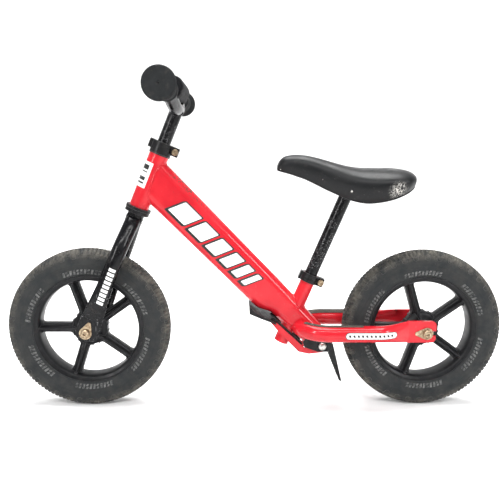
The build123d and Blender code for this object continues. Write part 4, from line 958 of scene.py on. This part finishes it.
def make_saddle_screws(skin):
    """Screws through both sides of the saddle."""
    tree = BVHTree.FromObject(skin, bpy.context.evaluated_depsgraph_get())
    shape, rims = Shape(), Shape()
    for x, z, radius in SADDLE_SCREWS:
        for side in (1, -1):
            place, normal = tree.ray_cast(Vector((x, side * 200, z)) * MM, LEFT * -side)[:2]
            if place is not None:
                outward = Vector((0, side, 0)).lerp(normal, 0.7).normalized()
                dome(rims, place, outward, 1.5 * radius, 0.7)
                dome(shape, place + outward * 0.3 * MM, outward, 0.7 * radius, 1.0)
    shape.build("saddle_side_screws", "seat", STEEL, "bright_steel", sharp=50)
    rims.build("saddle_screw_cups", "seat", PLASTIC, sharp=50)


# ---------------------------------------------------------------- weld beads
def bead(name, body, finish, slot, loops, radius):
    """Weld beads along closed loops of points, rippled like a row of coins."""
    shape = Shape()
    for loop in loops:
        count = len(loop)
        middle = sum(loop, Vector()) / count
        rows = []
        for here in range(count):
            along = (loop[(here + 1) % count] - loop[here - 1]).normalized()
            side = loop[here] - middle
            side = (side - along * side.dot(along)).normalized()
            other = along.cross(side)
            ripple = radius * (1 + 0.13 * math.sin(here * 2 * math.pi / 6) + 0.06 * math.sin(here * 1.7)) * MM
            rows.append([loop[here] + (side * math.cos(turn) + other * math.sin(turn)) * ripple
                         for turn in full_turn(8)])
        shape.grid(rows, wrap_rows=True)
    return shape.build(name, body, finish, slot)


def cast_loop(node, starts, direction):
    """Where rays from a ring of points meet a CAD node; a ray that misses is left out."""
    tree = surface_of(node)
    loop = []
    for start in starts:
        place = tree.ray_cast(start, direction)[0]
        if place is not None:
            loop.append(place)
    return loop


def ring(centre, axis, radius, count=96, forward=AHEAD):
    """Points of a circle round a line, the first of them in the forward direction."""
    second = axis.cross(forward)
    return [centre + (forward * math.cos(turn) + second * math.sin(turn)) * radius * MM
            for turn in full_turn(count)]


def main_outline(distance, count=140):
    """Points round the main tube near the head, outside its flat oval."""
    points = []
    straight = MAIN_HALF_HEIGHT - MAIN_HALF_WIDTH
    for turn in full_turn(count):
        rise = math.sin(turn)
        under = MAIN_HALF_WIDTH * rise + math.copysign(straight, rise) * min(1, abs(rise) * 3)
        points.append(main_point(distance, under, MAIN_HALF_WIDTH * math.cos(turn)))
    return points


WELD_RADIUS, THIN_WELD_RADIUS, FORK_WELD_RADIUS = 1.5, 1.6, 1.7
SEAT_TUBE_RING, LEG_RING, STEM_RING, POST_RING = 13.4, 12.4, 11.0, 11.3      # beside each tube's wall
WELD_POINTS = 60             # a loop with fewer points than this has missed its surface
HEAD_WELD_START = 70         # down the main tube, from where its outline is cast on to the head tube
SEAT_WELD_STARTS = (62, -90)           # heights above and below the main tube
STEM_WELD_START, POST_WELD_START = 370, 190


def make_welds():
    """Weld beads where the frame's, fork's, stem's and post's tubes meet."""
    red = [cast_loop("head_tube", main_outline(HEAD_WELD_START), -MAIN_DOWN)]
    for height in SEAT_WELD_STARTS:
        starts = ring(seat_point(0, 0, height), UP, SEAT_TUBE_RING)
        red.append(cast_loop("main_tube", starts, UP * -math.copysign(1, height)))
    red = [loop for loop in red if len(loop) > WELD_POINTS]
    bead("frame_welds", "frame", RED, "red_paint", red, WELD_RADIUS)
    legs = []
    for side in (1, -1):
        start = steer_point(0, side * 24, 184)
        across = (steer_point(0, side * 4, 213) - steer_point(0, side * 20, 190)).normalized()
        legs.append(cast_loop("steerer_tube", ring(start, across, LEG_RING), across))
    legs = [loop for loop in legs if len(loop) > WELD_POINTS]
    bead("fork_welds", "fork", BLACK, "black_paint", legs, FORK_WELD_RADIUS)
    stem = cast_loop("handlebar", ring(steer_point(0, 0, STEM_WELD_START), UP, STEM_RING), UP)
    bead("stem_weld", "bar", BLACK, "black_paint", [stem], THIN_WELD_RADIUS)
    post = cast_loop("seat_plate", ring(seat_point(0, 0, POST_WELD_START), UP, POST_RING), UP)
    bead("seat_post_weld", "seat", BLACK, "black_paint", [post], THIN_WELD_RADIUS)


# ---------------------------------------------------------------- printed marks, all plain shapes
def flat_mark(shape, corners, place, lift, rows=2, columns=2):
    """Thin body over four corners; place turns (u, v, lift) into a point on the surface."""
    top, bottom = [], []
    for row in np.linspace(0, 1, rows):
        line_top, line_bottom = [], []
        for column in np.linspace(0, 1, columns):
            u, v = (Vector(corners[0]).lerp(Vector(corners[1]), column)
                    .lerp(Vector(corners[3]).lerp(Vector(corners[2]), column), row))
            line_top.append(place(u, v, lift))
            line_bottom.append(place(u, v, -0.05))
        top.append(line_top)
        bottom.append(line_bottom)
    shape.slab(top, bottom)


def rounded(corners, radius, steps=5):
    """Outline of a polygon with its corners rounded off."""
    outline = []
    for index, corner in enumerate(corners):
        here, before = Vector(corner), Vector(corners[index - 1])
        after = Vector(corners[(index + 1) % len(corners)])
        start = here + (before - here).normalized() * radius
        end = here + (after - here).normalized() * radius
        for share in np.linspace(0, 1, steps):
            outline.append(start.lerp(here, share).lerp(here.lerp(end, share), share))
    return outline


def prism(shape, outline, place, lift):
    """Thin flat body under a closed outline."""
    start, size = len(shape.points), len(outline)
    for level in (lift, -0.05):
        shape.points.extend(tuple(place(point.x, point.y, level)) for point in outline)
    shape.faces.append(tuple(range(start, start + size)))
    shape.faces.append(tuple(range(start + size, start + 2 * size)))
    for here in range(size):
        there = (here + 1) % size
        shape.faces.append((start + here, start + there, start + size + there, start + size + here))


STRIPE_WIDTHS = (38, 31, 25, 20, 15, 10)
STRIPE_FIRST, STRIPE_GAP, STRIPE_SLANT = 66.0, 9.0, 7.0
STRIPE_LOW, STRIPE_HIGH = 16.5, -13.5        # limits across the tube, towards its underside and its top
STRIPE_OUTLINE, STRIPE_SHADE = 2.2, 2.2


def stripe(first, last, grow, shift):
    """Corners of a slanted stripe on the main tube, as (distance, under)."""
    low, high = STRIPE_LOW + grow + shift, STRIPE_HIGH - grow + shift
    lean_low, lean_high = (STRIPE_SLANT * (edge - shift) / STRIPE_LOW for edge in (low, high))
    start, end = first - grow - shift, last + grow - shift
    return ((start - lean_low, low), (end - lean_low, low),
            (end - lean_high, high), (start - lean_high, high))


def make_main_marks():
    """Six slanted stripes that grow narrower, on both sides of the main tube: white edged with black."""
    white, black = Shape(), Shape()
    for side in (1, -1):
        def place(distance, under, lift, side=side):
            return main_point(distance, under, side * (MAIN_HALF_WIDTH + lift))
        first = STRIPE_FIRST
        for width in STRIPE_WIDTHS:
            last = first + width
            prism(black, rounded(stripe(first, last, STRIPE_OUTLINE, 0.0), 2.5), place, 0.12)
            prism(black, rounded(stripe(first, last, STRIPE_OUTLINE, STRIPE_SHADE), 2.5), place, 0.10)
            prism(white, rounded(stripe(first, last, 0.0, 0.0), 2.0), place, 0.26)
            first = last + STRIPE_GAP
    black.build("main_tube_stripe_edges", "frame", INK, sharp=30)
    white.build("main_tube_stripes", "frame", WHITE, sharp=30)


def projected(node, side):
    """Turns (x, z, lift) into a point on a node's left or right side."""
    tree = surface_of(node)

    def place(x, z, lift):
        start = Vector((x * MM, side * 0.3, z * MM))
        hit, normal = tree.ray_cast(start, Vector((0, -side, 0)))[:2]
        if hit is None:
            hit, normal = tree.find_nearest(start)[:2]
        if normal.y * side < 0:
            normal = -normal
        return hit + normal * lift * MM
    return place


def pill(shape, place, start, end, level, half, lift, columns=26):
    """Strip with round ends along X on a projected surface."""
    top, bottom = [], []
    for share in (1 - np.cos(np.linspace(0, math.pi, columns))) / 2:
        x = start + (end - start) * share
        near_end = min(x - min(start, end), max(start, end) - x)
        wide = half * math.sqrt(max(0.02, 1 - max(0.0, 1 - near_end / half) ** 2))
        top.append([place(x, level + wide * across, lift) for across in np.linspace(-1, 1, 7)])
        bottom.append([place(x, level + wide * across, -0.05) for across in np.linspace(-1, 1, 7)])
    shape.slab(top, bottom)


INK_LIFT, WHITE_LIFT, TOP_LIFT = 0.12, 0.26, 0.4       # how far the printed layers stand off the paint
LABEL_BACK, LABEL_FRONT, LABEL_LEVEL, LABEL_HALF, LABEL_EDGE = -234.6, -147.4, 143.4, 5.0, 1.4
DASHES, DASH_FIRST, DASH_PITCH, DASH_HALF = 11, -226, 7.2, 2.0
FORK_BARS, FORK_BAR_FIRST, FORK_BAR_PITCH, FORK_BAR_LENGTH, FORK_BAR_SLANT = 9, 59, 7.6, 5.2, 1.2
FORK_BAR_BACK, FORK_BAR_FRONT, FORK_BAR_LIFT = -8.5, 2.5, 0.3
BADGE_LOW, BADGE_HIGH, BADGE_TURN, BADGE_STRIPE_TURN = 264, 308, 1.5, 1.2
BADGE_STRIPES = ((270, 273), (276, 282), (290, 292), (295, 303))


def make_stay_marks():
    """Pill-shaped plain label on the outside of each stay, with a row of dashes."""
    for side, hand in ((1, "left"), (-1, "right")):
        place = projected(f"rear_stay_{hand}", side)
        black, white, dashes = Shape(), Shape(), Shape()
        pill(black, place, LABEL_BACK - LABEL_EDGE, LABEL_FRONT + LABEL_EDGE, LABEL_LEVEL, 6.2, INK_LIFT)
        pill(white, place, LABEL_BACK, LABEL_FRONT, LABEL_LEVEL, LABEL_HALF, WHITE_LIFT)
        low, high = LABEL_LEVEL - DASH_HALF, LABEL_LEVEL + DASH_HALF
        for dash in range(DASHES):
            x = DASH_FIRST + DASH_PITCH * dash
            corners = ((x - 2, low), (x + 1.6, low), (x + 2.6, high), (x - 1, high))
            flat_mark(dashes, corners, place, TOP_LIFT, 3, 2)
        black.build(f"stay_label_edge_{hand}", "frame", INK, sharp=40)
        white.build(f"stay_label_{hand}", "frame", WHITE, sharp=40)
        dashes.build(f"stay_label_dashes_{hand}", "frame", INK, sharp=40)


def make_fork_marks():
    """Row of short white bars down the outside of each fork leg."""
    for side, hand in ((1, "left"), (-1, "right")):
        surface = projected(f"fork_leg_{hand}", side)

        def place(ahead, height, lift, surface=surface):
            point = steer_point(ahead, 0, height)
            return surface(point.x / MM, point.z / MM, lift)
        shape = Shape()
        for bar in range(FORK_BARS):
            low = FORK_BAR_FIRST + FORK_BAR_PITCH * bar
            high = low + FORK_BAR_LENGTH
            corners = ((FORK_BAR_BACK, low), (FORK_BAR_FRONT, low + FORK_BAR_SLANT),
                       (FORK_BAR_FRONT, high + FORK_BAR_SLANT), (FORK_BAR_BACK, high))
            flat_mark(shape, corners, place, FORK_BAR_LIFT, 2, 5)
        shape.build(f"fork_bars_{hand}", "fork", WHITE, sharp=40)


def make_head_badge():
    """White sticker round the front of the head tube, with plain dark stripes."""
    radius = (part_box("head_tube")[1].y) / MM

    def place(turn, height, lift):
        return steer_point((radius + lift) * math.cos(turn), (radius + lift) * math.sin(turn), height)
    white, ink = Shape(), Shape()
    spans = [(white, BADGE_TURN, BADGE_LOW, BADGE_HIGH, 0.25, 25)]
    spans += [(ink, BADGE_STRIPE_TURN, low, high, 0.36, 21) for low, high in BADGE_STRIPES]
    for shape, turn, low, high, lift, columns in spans:
        flat_mark(shape, ((-turn, low), (turn, low), (turn, high), (-turn, high)), place, lift, 2, columns)
    white.build("head_badge", "frame", WHITE, sharp=40)
    ink.build("head_badge_stripes", "frame", INK, sharp=40)


# ---------------------------------------------------------------- everything
make_camera()
make_floor()
make_light()
finish_cad_nodes()
for wheel_end in AXLES:
    make_tyre(wheel_end)
    make_wheel(wheel_end)
make_grip("left", 1)
make_grip("right", -1)
make_bar_pad()
make_saddle_screws(make_saddle())
make_welds()
make_main_marks()
make_stay_marks()
make_fork_marks()
make_head_badge()
